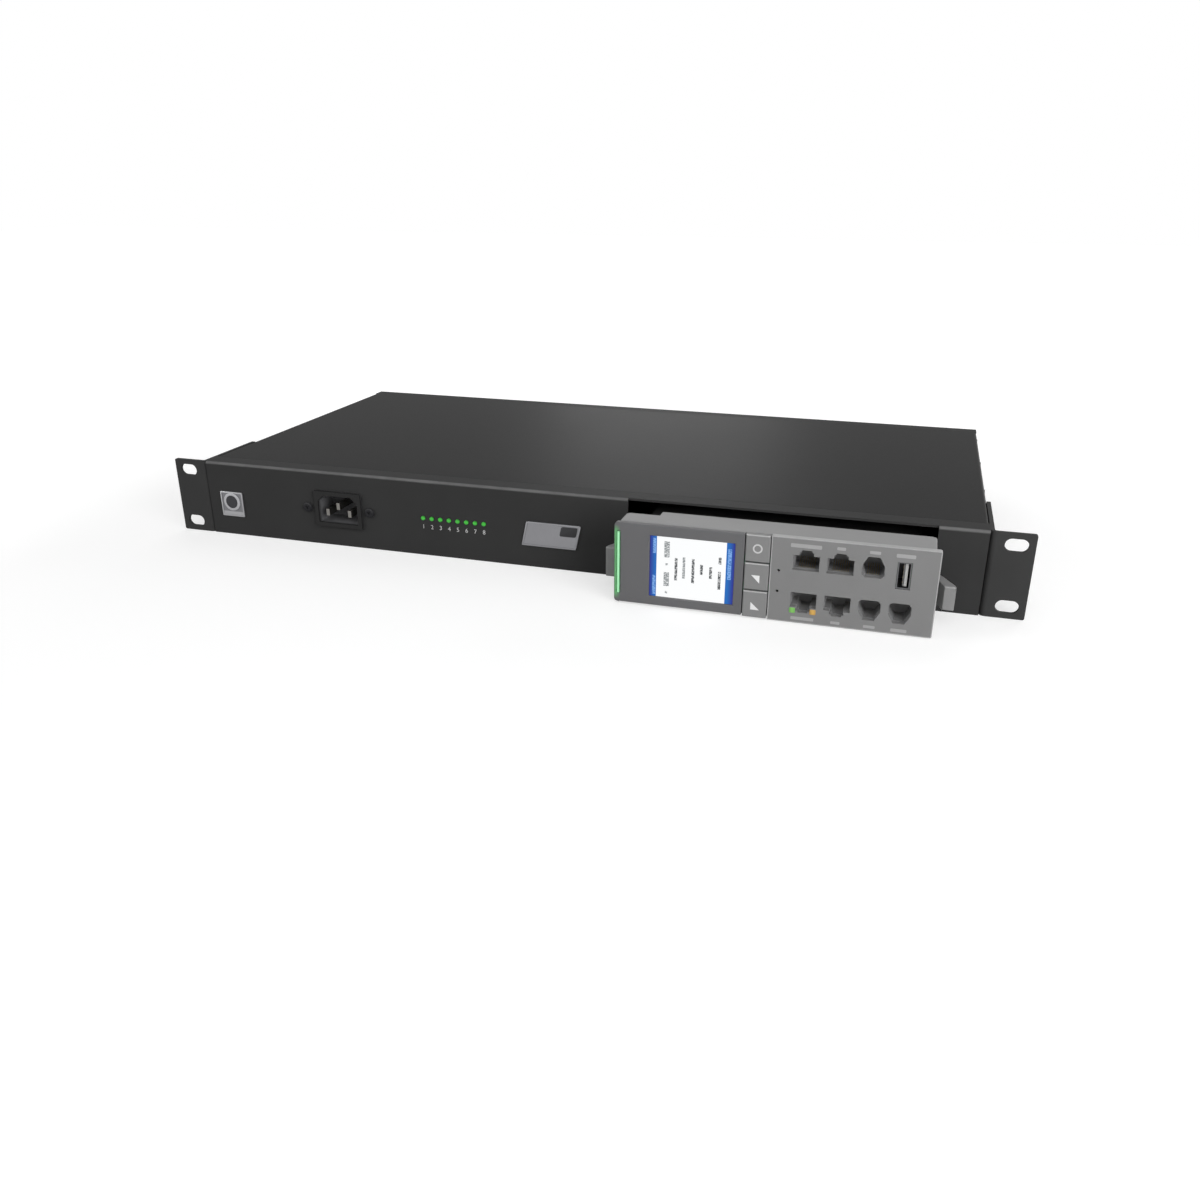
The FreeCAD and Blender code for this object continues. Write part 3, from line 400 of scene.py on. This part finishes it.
def markedKey(name, node, mark, p):  # key plastic with its printed mark
    # the key edges carry a painted highlight on their folds
    look = mouldedPlastic(name, p["tone"], p["rough"], p["grain"], edge=p["edge"])
    low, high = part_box(node)
    x, y, z = look.axes()
    across, up = x - (low.x + high.x) / 2, z - (low.z + high.z) / 2
    if mark == "ring":
        away = look.distance(across, up)
        inner, outer = p["ring"]
        printed = (away > inner * mm) & (away < outer * mm)
        ink = p["ringInk"]
    else:
        square, legs = p[mark]
        along = (across - square[0] * mm) / (legs[0] * mm)
        over = (up - square[1] * mm) / (legs[1] * mm)
        printed = (along > 0.0) & (over > 0.0) & (along + over < 1.0)
        ink = p["arrowInk"]
    front = y < low.y + p["printDepth"] * mm
    return look.paint(Base_Color=look.shade(printed & front, look.tone(), rgb(ink)))


emblemPlate = {"x": -204.6, "z": -2.95, "size": 15.0, "thick": 0.8, "rim": 0.8, "sink": 0.25, "corner": 0.8,
               "bar": 3.0, "tone": "#77777a", "paleTone": "#9c9c9e", "rough": 0.45, "stretch": (8, 1, 0.4),
               "disc": 5.4, "discThick": 0.5, "discSides": 48, "discRise": 1.5, "discRim": 1.5,
               "discSink": 0.15, "discTone": "#3d3d40", "ringTone": "#b5b5b8", "discRough": 0.3,
               "discGrain": 0.04, "discSpecular": 0.15}


def barredPlate(name, p):  # satin plate, paler along the rim and in a bar at its foot
    look = metal(name, p["tone"], p["rough"], p["stretch"])
    x, z = look.face()
    half = p["size"] / 2 - p["rim"]
    foot = p["z"] - p["size"] / 2 + p["bar"]
    field = strip(x, z, p["x"] - half, p["x"] + half, foot, p["z"] + half)
    return look.paint(Base_Color=look.shade(field, rgb(p["paleTone"]), look.tone()))


def ringedDisc(name, p):  # plain dark disc with a pale ring round it
    look = mouldedPlastic(name, p["discTone"], p["discRough"], p["discGrain"], p["discSpecular"])
    x, z = look.face()
    away = look.distance(x - p["x"] * mm, z - (p["z"] + p["discRise"]) * mm)
    ring = away > (p["disc"] - p["discRim"]) * mm
    return look.paint(Base_Color=look.shade(ring, look.tone(), rgb(p["ringTone"])))


blackPaint = powderCoat("satinBlackPaint", "#383838", rough=0.48, peel=0.16)
earPaint = powderCoat("earBlackPaint", "#3d3d3d", rough=0.48, peel=0.16)
# painted shade: the cover paint is set darker than the chassis paint, against the light falling on the top
shadedTopPaint = powderCoat("coverBlackPaint", "#2b2b2b", rough=0.4, peel=0.12)
# screw heads carry a faint painted highlight on their domes
blackScrew = powderCoat("blackScrewFinish", "#2d2d2f", rough=0.42, peel=0.1, foldSheen="#454546")
bodyGrey = mouldedPlastic("controllerGrey", "#8d8d8d", rough=0.5, grain=0.16)
# the latch edges carry a painted highlight on their folds
latchGrey = mouldedPlastic("latchGrey", "#8c8c8c", rough=0.5, grain=0.14, edge=1.2)
socketBlack = mouldedPlastic("socketBlack", "#272728", rough=0.42, grain=0.12)
# the outlet edges carry a strong painted highlight on their top bevels and folds
outletBlack = mouldedPlastic("outletBlack", "#323234", rough=0.45, grain=0.12, specular=0.15, edge=5.0)
railBlack = mouldedPlastic("railBlack", "#1c1c1c", rough=0.6, grain=0.14)
glandBlack = mouldedPlastic("glandBlack", "#39393a", rough=0.36, grain=0.08, specular=0.2)
rubberBlack = mouldedPlastic("sealRubber", "#161616", rough=0.8, grain=0.2, specular=0.1)
numeralGrey = mouldedPlastic("numeralInk", "#c4c4c4", rough=0.55, grain=0.05)
labelGrey = mouldedPlastic("printedLabel", "#9e9e9e", rough=0.55, grain=0.05)
tabGrey = mouldedPlastic("paleTab", "#b4b4b5", rough=0.45, grain=0.08)
darkGloss = mouldedPlastic("darkGloss", "#3a3a3c", rough=0.3, grain=0.03, specular=0.15)
# the inlet and the jacks are painted lighter inside, as painted fill light against the shade in their hollows
inletBlack = paintedFillPlastic("inletBlack", "#1b1b1b", "#616163", start=-3.0, depth=3.0)
jackGrey = paintedFillPlastic("jackGrey", "#7c7c7d", "#9a9a9b", start=-35.0, depth=5.0)
zinc = metal("zincSteel", "#8d8f91", rough=0.42, stretch=(1, 1, 6))
nickel = metal("nickelPins", "#807e7a", rough=0.36, stretch=(1, 8, 1))
gold = metal("goldWires", "#a89a78", rough=0.32, stretch=(1, 8, 1))
brass = metal("brassContacts", "#c79a4a", rough=0.3, stretch=(1, 8, 1))
copper = metal("copperBars", "#c97a4c", rough=0.32, stretch=(8, 1, 1))
plateSilver = metal("plateSilver", "#8a8a8d", rough=0.42, stretch=(8, 1, 0.4))
emblemSilver = barredPlate("emblemSilver", emblemPlate)
discGrey = ringedDisc("emblemDiscGrey", emblemPlate)
usbMetal = usbShell("usbShell", usbFinish)
plateGrey = rimHighlightPlate("portPlateGrey", "port_plate", portPlate)
bezelGrey = litBezel("displayBezelGrey", displayBezel, lightBar)
selectKey = markedKey("selectKeyGrey", "select_button", "ring", keyMarks)
upKey = markedKey("upKeyGrey", "up_button", "up", keyMarks)
downKey = markedKey("downKeyGrey", "down_button", "down", keyMarks)
boardGreen = circuitBoard("boardGreen", boardTracks)
screenLight = litScreen("litScreen", screenPage)
barGreen = glow("lightBarGreen", lightBar["core"], lightBar["rim"], lightBar["strength"],
                axis=0, middle=lightBar["x"], reach=lightBar["reach"])
lampGreen = glow("lampGreen", "#37b732", "#1d751c", strength=0.12, axis=2, middle=0.0, reach=1.6)
print("finishes mixed")

upperJacks = [f"upper_jack_{k}" for k in range(1, 4)]
lowerJacks = [f"lower_jack_{k}" for k in range(1, 5)]
outlets = [f"outlet_{k}" for k in range(1, 9)]
finishOf = {
    blackPaint: ["chassis_base", "front_panel", "rear_panel"],
    shadedTopPaint: ["top_cover", "controller_lid"],
    earPaint: ["left_rack_ear", "right_rack_ear"],
    blackScrew: ["ear_screws", "cover_screws", "inlet_screws"],
    bodyGrey: ["controller_housing"], plateGrey: ["port_plate"], bezelGrey: ["display_bezel"],
    selectKey: ["select_button"], upKey: ["up_button"], downKey: ["down_button"],
    latchGrey: ["left_latch", "right_latch"],
    screenLight: ["display_screen"], barGreen: ["status_light_bar"], lampGreen: ["light_pipes"],
    inletBlack: ["inlet_housing"], nickel: ["inlet_pins"],
    jackGrey: upperJacks + lowerJacks, usbMetal: ["usb_port"],
    outletBlack: outlets, brass: ["outlet_contacts"],
    socketBlack: ["power_supply", "terminal_block", "outlet_relays", "dock_plug", "dock_socket"],
    railBlack: ["left_guide_rail", "right_guide_rail"], zinc: ["controller_tray"],
    glandBlack: ["gland_body", "gland_nut", "gland_locknut"], rubberBlack: ["gland_seal"],
    boardGreen: ["light_board", "controller_front_board", "controller_board", "control_board"],
    copper: ["live_bus_bar", "neutral_bus_bar"],
}
for look, members in finishOf.items():
    for member in members:
        nodes[member].data.materials.clear()
        nodes[member].data.materials.append(look.material)

tiny = 0.01  # millimetres, nearer than this is the same level or seam
softEdges = {  # small radius on moulded edges, millimetres
    "controller_housing": 0.5, "display_bezel": 0.5, "left_latch": 0.4, "right_latch": 0.4,
    "inlet_housing": 0.3, "gland_nut": 0.4, "gland_body": 0.4, **{outlet: 0.3 for outlet in outlets},
}
softRule = {"steps": 2, "angle": 40,  # the plain forms have no short edges to hold the radius back
            "plain": ("controller_housing", "display_bezel", "left_latch", "right_latch")}
for member, radius in softEdges.items():
    weld = nodes[member].modifiers.new("closeSeams", "WELD")
    weld.merge_threshold = tiny * mm
    edge = nodes[member].modifiers.new("softEdge", "BEVEL")
    edge.width = radius * mm
    edge.segments = softRule["steps"]
    edge.limit_method = "ANGLE"
    edge.angle_limit = math.radians(softRule["angle"])
    edge.harden_normals = True
    edge.use_clamp_overlap = member not in softRule["plain"]
print("CAD nodes dressed")


def deselectAll():
    bpy.ops.object.select_all(action="DESELECT")


def selectOnly(piece):
    deselectAll()
    piece.select_set(True)
    bpy.context.view_layer.objects.active = piece


def block(name, low, high):  # a box between two corners, given in millimetres, to be shaped further
    deselectAll()
    bpy.ops.mesh.primitive_cube_add(size=1)
    piece = bpy.context.object
    piece.name = piece.data.name = name
    piece.scale = [(b - a) * mm for a, b in zip(low, high)]
    piece.location = [(a + b) / 2 * mm for a, b in zip(low, high)]
    bpy.ops.object.transform_apply(location=True, rotation=True, scale=True)
    return piece


def tile(name, x, z, width, height, front, back):  # a block by its middle and size on a face
    return block(name, (x - width / 2, front, z - height / 2), (x + width / 2, back, z + height / 2))


def stoodUp(piece, x, y, z):  # turns a lying piece to face forward, at that place in millimetres
    piece.rotation_euler = (math.radians(90), 0, 0)
    piece.location = (x * mm, y * mm, z * mm)
    bpy.ops.object.transform_apply(location=True, rotation=True, scale=True)


def pick(piece, kind, test):  # selects faces, edges or points by place, and stays in edit mode
    bpy.ops.object.mode_set(mode="EDIT")
    bpy.ops.mesh.select_mode(type=kind)
    bpy.ops.mesh.select_all(action="DESELECT")
    bpy.ops.object.mode_set(mode="OBJECT")
    mesh = piece.data
    if kind == "FACE":
        for face in mesh.polygons:
            face.select = bool(test(face.center / mm, face.normal))
    elif kind == "EDGE":
        for edge in mesh.edges:
            a, b = (mesh.vertices[k].co / mm for k in edge.vertices)
            edge.select = bool(test((a + b) / 2, (b - a).normalized()))
    else:
        for point in mesh.vertices:
            point.select = bool(test(point.co / mm, point.normal))
    bpy.ops.object.mode_set(mode="EDIT")


straight = 0.9  # how much of a direction has to lie along an axis


def isFront(at, facing):
    return facing.y < -straight


def isDeepEdge(at, along):  # an edge that runs front to back
    return abs(along.y) > straight


def roundCorners(piece, radius, steps):  # of a plate seen from the front
    pick(piece, "EDGE", isDeepEdge)
    bpy.ops.mesh.bevel(offset=radius * mm, segments=steps)


def raisedFront(piece, chamfer, rise):  # lifts the front face inside a small chamfer
    pick(piece, "FACE", isFront)
    bpy.ops.mesh.inset(thickness=chamfer * mm, depth=rise * mm)


meshRule = {"same": 0.002, "smoothAngle": 35}  # millimetres and degrees


def outward(piece):  # joins doubles, turns all faces outwards, leaves edit mode
    bpy.ops.object.mode_set(mode="EDIT")
    bpy.ops.mesh.select_all(action="SELECT")
    bpy.ops.mesh.remove_doubles(threshold=meshRule["same"] * mm)
    bpy.ops.mesh.normals_make_consistent(inside=False)
    bpy.ops.object.mode_set(mode="OBJECT")
    selectOnly(piece)
    bpy.ops.object.shade_smooth_by_angle(angle=math.radians(meshRule["smoothAngle"]))


def copyTo(piece, name, matrix):  # a copy with its own mesh, moved there
    copy = piece.copy()
    copy.data = piece.data.copy()
    copy.name = copy.data.name = name
    bpy.context.scene.collection.objects.link(copy)
    copy.data.transform(matrix)
    return copy


def joined(name, pieces):  # one piece out of several
    deselectAll()
    for piece in pieces:
        piece.select_set(True)
    bpy.context.view_layer.objects.active = pieces[0]
    bpy.ops.object.join()
    pieces[0].name = pieces[0].data.name = name
    return pieces[0]


def fitted(piece, look, body, slot, *stoodFor):  # finish and body, a slot that is not used, and the node it stands for
    piece.data.materials.clear()
    piece.data.materials.append(look.material)
    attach(piece, body)
    if stoodFor:
        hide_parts(*stoodFor)


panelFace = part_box("front_panel")[0].y / mm
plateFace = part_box("port_plate")[0].y / mm
plateEdge = {"chamfer": 0.15, "rise": 0.1, "wall": 0.12, "sideDepth": 0.6, "steps": 4}  # of the bare plates


def sunkField(rim, sink):  # leaves a rim round the picked face and sinks the rest
    bpy.ops.mesh.inset(thickness=rim * mm)
    bpy.ops.mesh.inset(thickness=plateEdge["wall"] * mm, depth=-sink * mm)


def sunkPlate(piece, p):  # sinks the field of a plate and rounds its outer corners
    raisedFront(piece, plateEdge["chamfer"], plateEdge["rise"])
    sunkField(p["rim"], p["sink"])
    back = max(point.co.y for point in piece.data.vertices) / mm
    pick(piece, "EDGE", lambda at, along: isDeepEdge(at, along) and at.y > back - plateEdge["sideDepth"])
    bpy.ops.mesh.bevel(offset=p["corner"] * mm, segments=plateEdge["steps"])
    outward(piece)


def makeEmblemPlate(p):  # bare square plate with a plain dark disc
    front = panelFace - p["thick"]
    plate = tile("emblemPlate", p["x"], p["z"], p["size"], p["size"], front, panelFace)
    sunkPlate(plate, p)
    deselectAll()
    bpy.ops.mesh.primitive_cylinder_add(vertices=p["discSides"], radius=p["disc"] * mm,
                                        depth=p["discThick"] * mm)
    disc = bpy.context.object
    disc.name = disc.data.name = "emblemDisc"
    stoodUp(disc, p["x"], front, p["z"] + p["discRise"])
    raisedFront(disc, plateEdge["chamfer"], plateEdge["rise"])
    sunkField(p["discRim"], p["discSink"])
    outward(disc)
    fitted(plate, emblemSilver, "chassis", "steel")
    fitted(disc, discGrey, "chassis", "black_plastic")


namePlate = {"left": -20.4, "right": 11.0, "low": -9.6, "high": 4.3, "lean": 3.1, "thick": 0.8, "corner": 1.6,
             "rim": 0.7, "sink": 0.22, "tabWidth": 9.4, "tabHeight": 5.4, "tabSide": 1.5, "tabTop": 1.3,
             "tabProud": 0.15, "tabInset": 0.4, "tabCorner": 0.9}


def leaning(piece, p):  # leans a block over to the right
    slope = p["lean"] / (p["high"] - p["low"])
    for level in sorted({round(point.co.z / mm, 3) for point in piece.data.vertices}):
        pick(piece, "VERT", lambda at, facing: abs(at.z - level) < tiny)
        bpy.ops.transform.translate(value=((level - p["low"]) * slope * mm, 0, 0))
        bpy.ops.object.mode_set(mode="OBJECT")


def makeNamePlate(p):  # bare leaning plate and its dark corner tab
    front = panelFace - p["thick"]
    plate = block("namePlate", (p["left"], front, p["low"]), (p["right"], panelFace, p["high"]))
    leaning(plate, p)
    sunkPlate(plate, p)
    right, high = p["right"] - p["tabSide"], p["high"] - p["tabTop"]
    tab = block("namePlateTab", (right - p["tabWidth"], front - p["tabProud"], high - p["tabHeight"]),
                (right, panelFace - p["tabInset"], high))
    leaning(tab, p)
    roundCorners(tab, p["tabCorner"], plateEdge["steps"])
    raisedFront(tab, plateEdge["chamfer"], plateEdge["rise"])
    outward(tab)
    fitted(plate, plateSilver, "chassis", "steel")
    fitted(tab, darkGloss, "chassis", "black_plastic")


lightNumerals = {"firstX": -79.7, "pitch": 5.27, "count": 8, "z": -6.1, "height": 2.6, "sizeOverHeight": 1.35,
                 "thick": 0.05, "curveSteps": 3}


def makeNumerals(p):  # plain figures 1 to 8 under the lamps
    figures = []
    for k in range(p["count"]):
        deselectAll()
        bpy.ops.object.text_add()
        figure = bpy.context.object
        figure.data.body = str(k + 1)
        figure.data.align_x = "CENTER"
        figure.data.size = p["height"] * p["sizeOverHeight"] * mm
        figure.data.extrude = p["thick"] / 2 * mm
        figure.data.resolution_u = p["curveSteps"]
        bpy.ops.object.convert(target="MESH")
        figure = bpy.context.object
        stoodUp(figure, p["firstX"] + k * p["pitch"], panelFace - p["thick"] / 2, p["z"])
        figures.append(figure)
    fitted(joined("lightNumerals", figures), numeralGrey, "chassis", "lens")


jackWires = {"counts": dict(zip(upperJacks + lowerJacks, (8, 8, 6, 8, 8, 6, 6))), "pitch": 1.02,
             "thick": 0.34, "wall": 1.25, "start": 1.2, "root": 0.8, "endFacing": 0.5, "endDepth": 0.6,
             "bends": ((1.0, 0.15), (4.07, 1.725), (2.22, 0.575), (0.5, -0.3))}  # inwards, then off the wall


def makeJackWires(p, node, count):  # a comb of bent spring wires on the side away from the keyway
    low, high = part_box(node)
    half = p["thick"] / 2
    side = 1 if node in upperJacks else -1
    x = (low.x + high.x) / 2 / mm - (count - 1) * p["pitch"] / 2
    y = low.y / mm + p["start"]
    z = (low.z if side > 0 else high.z) / mm + side * (p["wall"] + half)
    piece = block(node + "Wires", (x - half, y, z - half), (x + half, y + p["root"], z + half))
    for inwards, away in p["bends"]:
        far = max(point.co.y for point in piece.data.vertices) / mm - p["endDepth"]
        pick(piece, "FACE", lambda at, facing: facing.y > p["endFacing"] and at.y > far)
        step = (0, inwards * mm, away * side * mm)
        bpy.ops.mesh.extrude_region_move(TRANSFORM_OT_translate={"value": step})
        bpy.ops.object.mode_set(mode="OBJECT")
    outward(piece)
    comb = piece.modifiers.new("comb", "ARRAY")
    comb.count = count
    comb.use_relative_offset = False
    comb.use_constant_offset = True
    comb.constant_offset_displace = (p["pitch"] * mm, 0, 0)
    bpy.ops.object.modifier_apply(modifier="comb")
    fitted(piece, gold, "controller", "brass")


usbStrips = {"count": 4, "pitch": 2.5, "width": 1.1, "thick": 0.12, "length": 7.0, "fromMiddle": -0.4,
             "start": 1.6, "edge": 0.05, "edgeSteps": 2}


def makeUsbStrips(p):  # contact strips on the tongue
    low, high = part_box("usb_port")
    x = (low.x + high.x) / 2 / mm + p["fromMiddle"]
    y = low.y / mm + p["start"]
    lowest = (low.z + high.z) / 2 / mm - (p["count"] - 1) / 2 * p["pitch"]
    strips = []
    for k in range(p["count"]):
        z = lowest + k * p["pitch"]
        piece = block("usbStrip", (x - p["thick"], y, z - p["width"] / 2),
                      (x, y + p["length"], z + p["width"] / 2))
        pick(piece, "EDGE", lambda at, along: abs(along.z) > straight and at.x < x - p["thick"] / 2)
        bpy.ops.mesh.bevel(offset=p["edge"] * mm, segments=p["edgeSteps"])
        outward(piece)
        strips.append(piece)
    fitted(joined("usbStrips", strips), gold, "controller", "brass")


portLamps = {"z": -15.2, "width": 2.9, "height": 2.6, "proud": 0.22, "corner": 0.4, "cornerSteps": 3,
             "chamfer": 0.2, "rise": 0.12, "strength": 0.06, "reach": 1.6,
             "lamps": {"portLampGreen": (132.6, "#79b955", "#569346"),
                       "portLampAmber": (142.4, "#c99e4b", "#a47d3c")}}


def makePortLamps(p):  # two small lenses below the first lower jack
    for name, (x, core, rim) in p["lamps"].items():
        piece = tile(name, x, p["z"], p["width"], p["height"], plateFace - p["proud"], plateFace)
        roundCorners(piece, p["corner"], p["cornerSteps"])
        raisedFront(piece, p["chamfer"], p["rise"])
        outward(piece)
        look = glow(name, core, rim, p["strength"], axis=0, middle=x, reach=p["reach"])
        fitted(piece, look, "controller", "green_light")


crossScrew = {"radius": 2.8, "sides": 32, "crown": 0.45, "crownSteps": 4, "recess": 3.2, "slot": 0.75,
              "deep": 0.55, "taper": 0.55, "firstSpin": 17, "spinStep": 41}
screwRows = {  # millimetres; the side rows stand at minus and plus sideX
    "ear_screws": {"height": 1.6, "sideX": 222.0, "ys": (16.0, 38.0), "zs": (-8.0, 8.0)},
    "cover_screws": {"height": 0.6, "sideX": 220.0, "ys": (78.0, 138.0, 198.0), "zs": (17.0,)},
    "inlet_screws": {"height": 1.6, "frontXs": (-153.2, -113.2)},
}


def makeScrewHead(p, height):  # pan head along +Z with a cross recess
    deselectAll()
    bpy.ops.mesh.primitive_cylinder_add(vertices=p["sides"], radius=p["radius"] * mm, depth=height * mm,
                                        location=(0, 0, height / 2 * mm))
    head = bpy.context.object
    bpy.ops.object.transform_apply(location=True, rotation=True, scale=True)
    pick(head, "EDGE", lambda at, along: at.z > height - tiny and abs(along.z) < 1 - straight)
    bpy.ops.mesh.bevel(offset=height * p["crown"] * mm, segments=p["crownSteps"])
    bpy.ops.object.mode_set(mode="OBJECT")
    half, slot = p["recess"] / 2, p["slot"] / 2
    for a, b in ((half, slot), (slot, half)):
        cutter = block("crossCutter", (-a, -b, height * (1 - p["deep"])), (a, b, height + 1))
        pick(cutter, "FACE", lambda at, facing: facing.z < -straight)
        bpy.ops.transform.resize(value=(p["taper"], p["taper"], 1))
        bpy.ops.object.mode_set(mode="OBJECT")
        selectOnly(head)
        cut = head.modifiers.new("cross", "BOOLEAN")
        cut.object = cutter
        cut.operation = "DIFFERENCE"
        cut.solver = "EXACT"
        bpy.ops.object.modifier_apply(modifier="cross")
        bpy.data.objects.remove(cutter)
    outward(head)
    return head


def screwSeats(row):  # each seat, and the side that its head faces, 0 for the front
    if "frontXs" in row:
        return [((x, panelFace, 0.0), 0) for x in row["frontXs"]]
    return [((side * row["sideX"], y, z), side) for side in (-1, 1) for y in row["ys"] for z in row["zs"]]


def makeScrews(p, rows):  # turned heads, each at its own angle
    for node, row in rows.items():
        head = makeScrewHead(p, row["height"])
        copies = []
        for number, (seat, side) in enumerate(screwSeats(row)):
            turn = Matrix.Rotation(math.radians(90 * side), 4, "Y")
            if side == 0:
                turn = Matrix.Rotation(math.radians(90), 4, "X")
            spin = Matrix.Rotation(math.radians(p["firstSpin"] + p["spinStep"] * number), 4, "Z")
            place = Matrix.Translation(Vector(seat) * mm)
            copies.append(copyTo(head, f"{node}Head{number}", place @ turn @ spin))
        fitted(joined(node + "Heads", copies), blackScrew, "chassis", "steel", node)
        bpy.data.objects.remove(head)


portLabels = {"thick": 0.06, "corner": 0.4, "cornerSteps": 3,
              "places": [(137.0, 17.9, 14.5, 1.9), (153.2, 18.3, 4.0, 1.5),  # x, z, width and height
                         (168.6, 18.0, 5.0, 1.5), (182.4, 17.7, 8.6, 1.8),
                         (137.6, -19.2, 11.0, 1.6), (153.3, -19.4, 4.4, 1.4),
                         (169.2, -19.4, 5.4, 1.4), (182.8, -19.6, 7.4, 1.6)]}


def makePortLabels(p):  # plain printed patches above and below the ports
    patches = []
    for x, z, width, height in p["places"]:
        patch = tile("portLabel", x, z, width, height, plateFace - p["thick"], plateFace)
        roundCorners(patch, p["corner"], p["cornerSteps"])
        outward(patch)
        patches.append(patch)
    fitted(joined("portLabels", patches), labelGrey, "controller", "lens")


outletTabs = {"width": 8.4, "height": 2.2, "thick": 1.3, "z": -15.9, "edge": 0.25, "edgeSteps": 2}


def makeOutletTabs(p):  # pale pull tab in the notch under each outlet
    tabs = []
    for outlet in outlets:
        low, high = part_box(outlet)
        x, face = (low.x + high.x) / 2 / mm, high.y / mm
        piece = tile("outletTab", x, p["z"], p["width"], p["height"], face - p["thick"], face)
        pick(piece, "EDGE", lambda at, along: at.y > face - tiny)
        bpy.ops.mesh.bevel(offset=p["edge"] * mm, segments=p["edgeSteps"])
        outward(piece)
        tabs.append(piece)
    fitted(joined("outletTabs", tabs), tabGrey, "chassis", "black_plastic")


makeEmblemPlate(emblemPlate)
makeNamePlate(namePlate)
makeNumerals(lightNumerals)
for jack, wires in jackWires["counts"].items():
    makeJackWires(jackWires, jack, wires)
makeUsbStrips(usbStrips)
makePortLamps(portLamps)
makeScrews(crossScrew, screwRows)
makePortLabels(portLabels)
makeOutletTabs(outletTabs)

stageSet = {"floor": 6.0, "gap": 0.0002, "white": 0.5, "rough": 0.9, "lift": 0.58, "farLift": 0.54,
            "near": 0.3, "blend": 0.6, "world": 0.2}  # lengths in metres


def seenRays(look):  # 1 for what the camera sees, straight, mirrored or through glass
    rays = look.node("ShaderNodeLightPath", out="Is Camera Ray")
    paths = rays.socket.node.outputs
    return rays | Wire(look, paths["Is Glossy Ray"]) | Wire(look, paths["Is Transmission Ray"])


def makeFloor(p):  # pale floor that the camera sees as white, apart from the shadow
    deselectAll()
    bpy.ops.mesh.primitive_plane_add(size=p["floor"], location=(0, 0, cadBox[0].z - p["gap"]))
    floor = bpy.context.object
    floor.name = "studioFloor"
    look = Look("studioFloor")
    away = look.node("ShaderNodeVectorMath", {"operation": "LENGTH"}, {0: look.place}, "Value")
    far = ((away - p["near"]) / p["blend"]).held()  # whiter away from the part
    most = p["lift"] + p["farLift"]
    lift = seenRays(look) * (p["lift"] + far * p["farLift"]) / most
    look.paint(Base_Color=grey(p["white"]), Roughness=p["rough"], Specular_IOR_Level=0.0,
               Emission_Color=look.shade(lift, grey(0), grey(1)), Emission_Strength=most)
    floor.data.materials.append(look.material)


def makeWorld(p):  # soft light on the part, plain white where it is seen
    world = bpy.data.worlds.new("studioWorld")
    bpy.context.scene.world = world
    sky = Look("studioWorld", world)
    soft = sky.node("ShaderNodeBackground", sockets={"Color": grey(1), "Strength": p["world"]})
    white = sky.node("ShaderNodeBackground", sockets={"Color": grey(1), "Strength": 1.0})
    mixed = sky.node("ShaderNodeMixShader", sockets={0: seenRays(sky), 1: soft, 2: white})
    sky.feed(sky.tree.nodes["World Output"].inputs["Surface"], mixed)


lamps = {  # place, aim and size in metres, and power, of each softbox
    "keySoftbox": ((0.2, -1.2, 1.5), (0.0, 0.0, 0.0), 1.1, 8.1),
    "topSoftbox": ((-0.6, 1.2, 1.5), (0.0, 0.15, 0.0), 1.2, 6.0),
    "backSoftbox": ((-0.34, 1.7, 0.46), (0.0, 0.15, 0.0), 0.5, 2.2),
    "fillSoftbox": ((0.8, -0.6, 0.3), (0.22, 0.0, 0.0), 0.6, 7.8),
    "leftSoftbox": ((-1.2, -0.7, 0.5), (0.0, 0.0, 0.0), 0.7, 6.6),
    "rearSoftbox": ((1.0, 1.4, 0.55), (0.0, 0.23, 0.0), 0.8, 10.0),
}


def makeLamps(boxes):  # square softboxes, each turned to its aim
    for name, (place, aim, size, power) in boxes.items():
        lamp = bpy.data.lights.new(name, "AREA")
        lamp.shape = "SQUARE"
        lamp.size = size
        lamp.energy = power
        holder = bpy.data.objects.new(name, lamp)
        bpy.context.scene.collection.objects.link(holder)
        holder.location = place
        holder.rotation_euler = (Vector(aim) - Vector(place)).to_track_quat("-Z", "Y").to_euler()


photoCamera = {"eye": (0.176245, -0.502448, 0.180902), "forward": (-0.26760, 0.88312, -0.38534),
               "right": (0.95698, 0.29017, 0.00044), "lens": 30.832, "sensor": 36.0, "near": 0.01, "far": 50}


def makeCamera(p):  # the photo's own viewing angle
    camera = bpy.data.cameras.new("photoCamera")
    camera.lens = p["lens"]
    camera.sensor_width = p["sensor"]
    camera.sensor_fit = "HORIZONTAL"
    camera.clip_start = p["near"]
    camera.clip_end = p["far"]
    holder = bpy.data.objects.new("photoCamera", camera)
    bpy.context.scene.collection.objects.link(holder)
    back = -Vector(p["forward"]).normalized()
    right = (Vector(p["right"]) - back * Vector(p["right"]).dot(back)).normalized()
    up = back.cross(right)
    turn = Matrix((right, up, back)).transposed()
    holder.matrix_world = Matrix.Translation(p["eye"]) @ turn.to_4x4()
    bpy.context.scene.camera = holder


makeFloor(stageSet)
makeWorld(stageSet)
makeLamps(lamps)
makeCamera(photoCamera)
bpy.context.scene.view_settings.view_transform = "Standard"
print("stage, lamps and camera set")
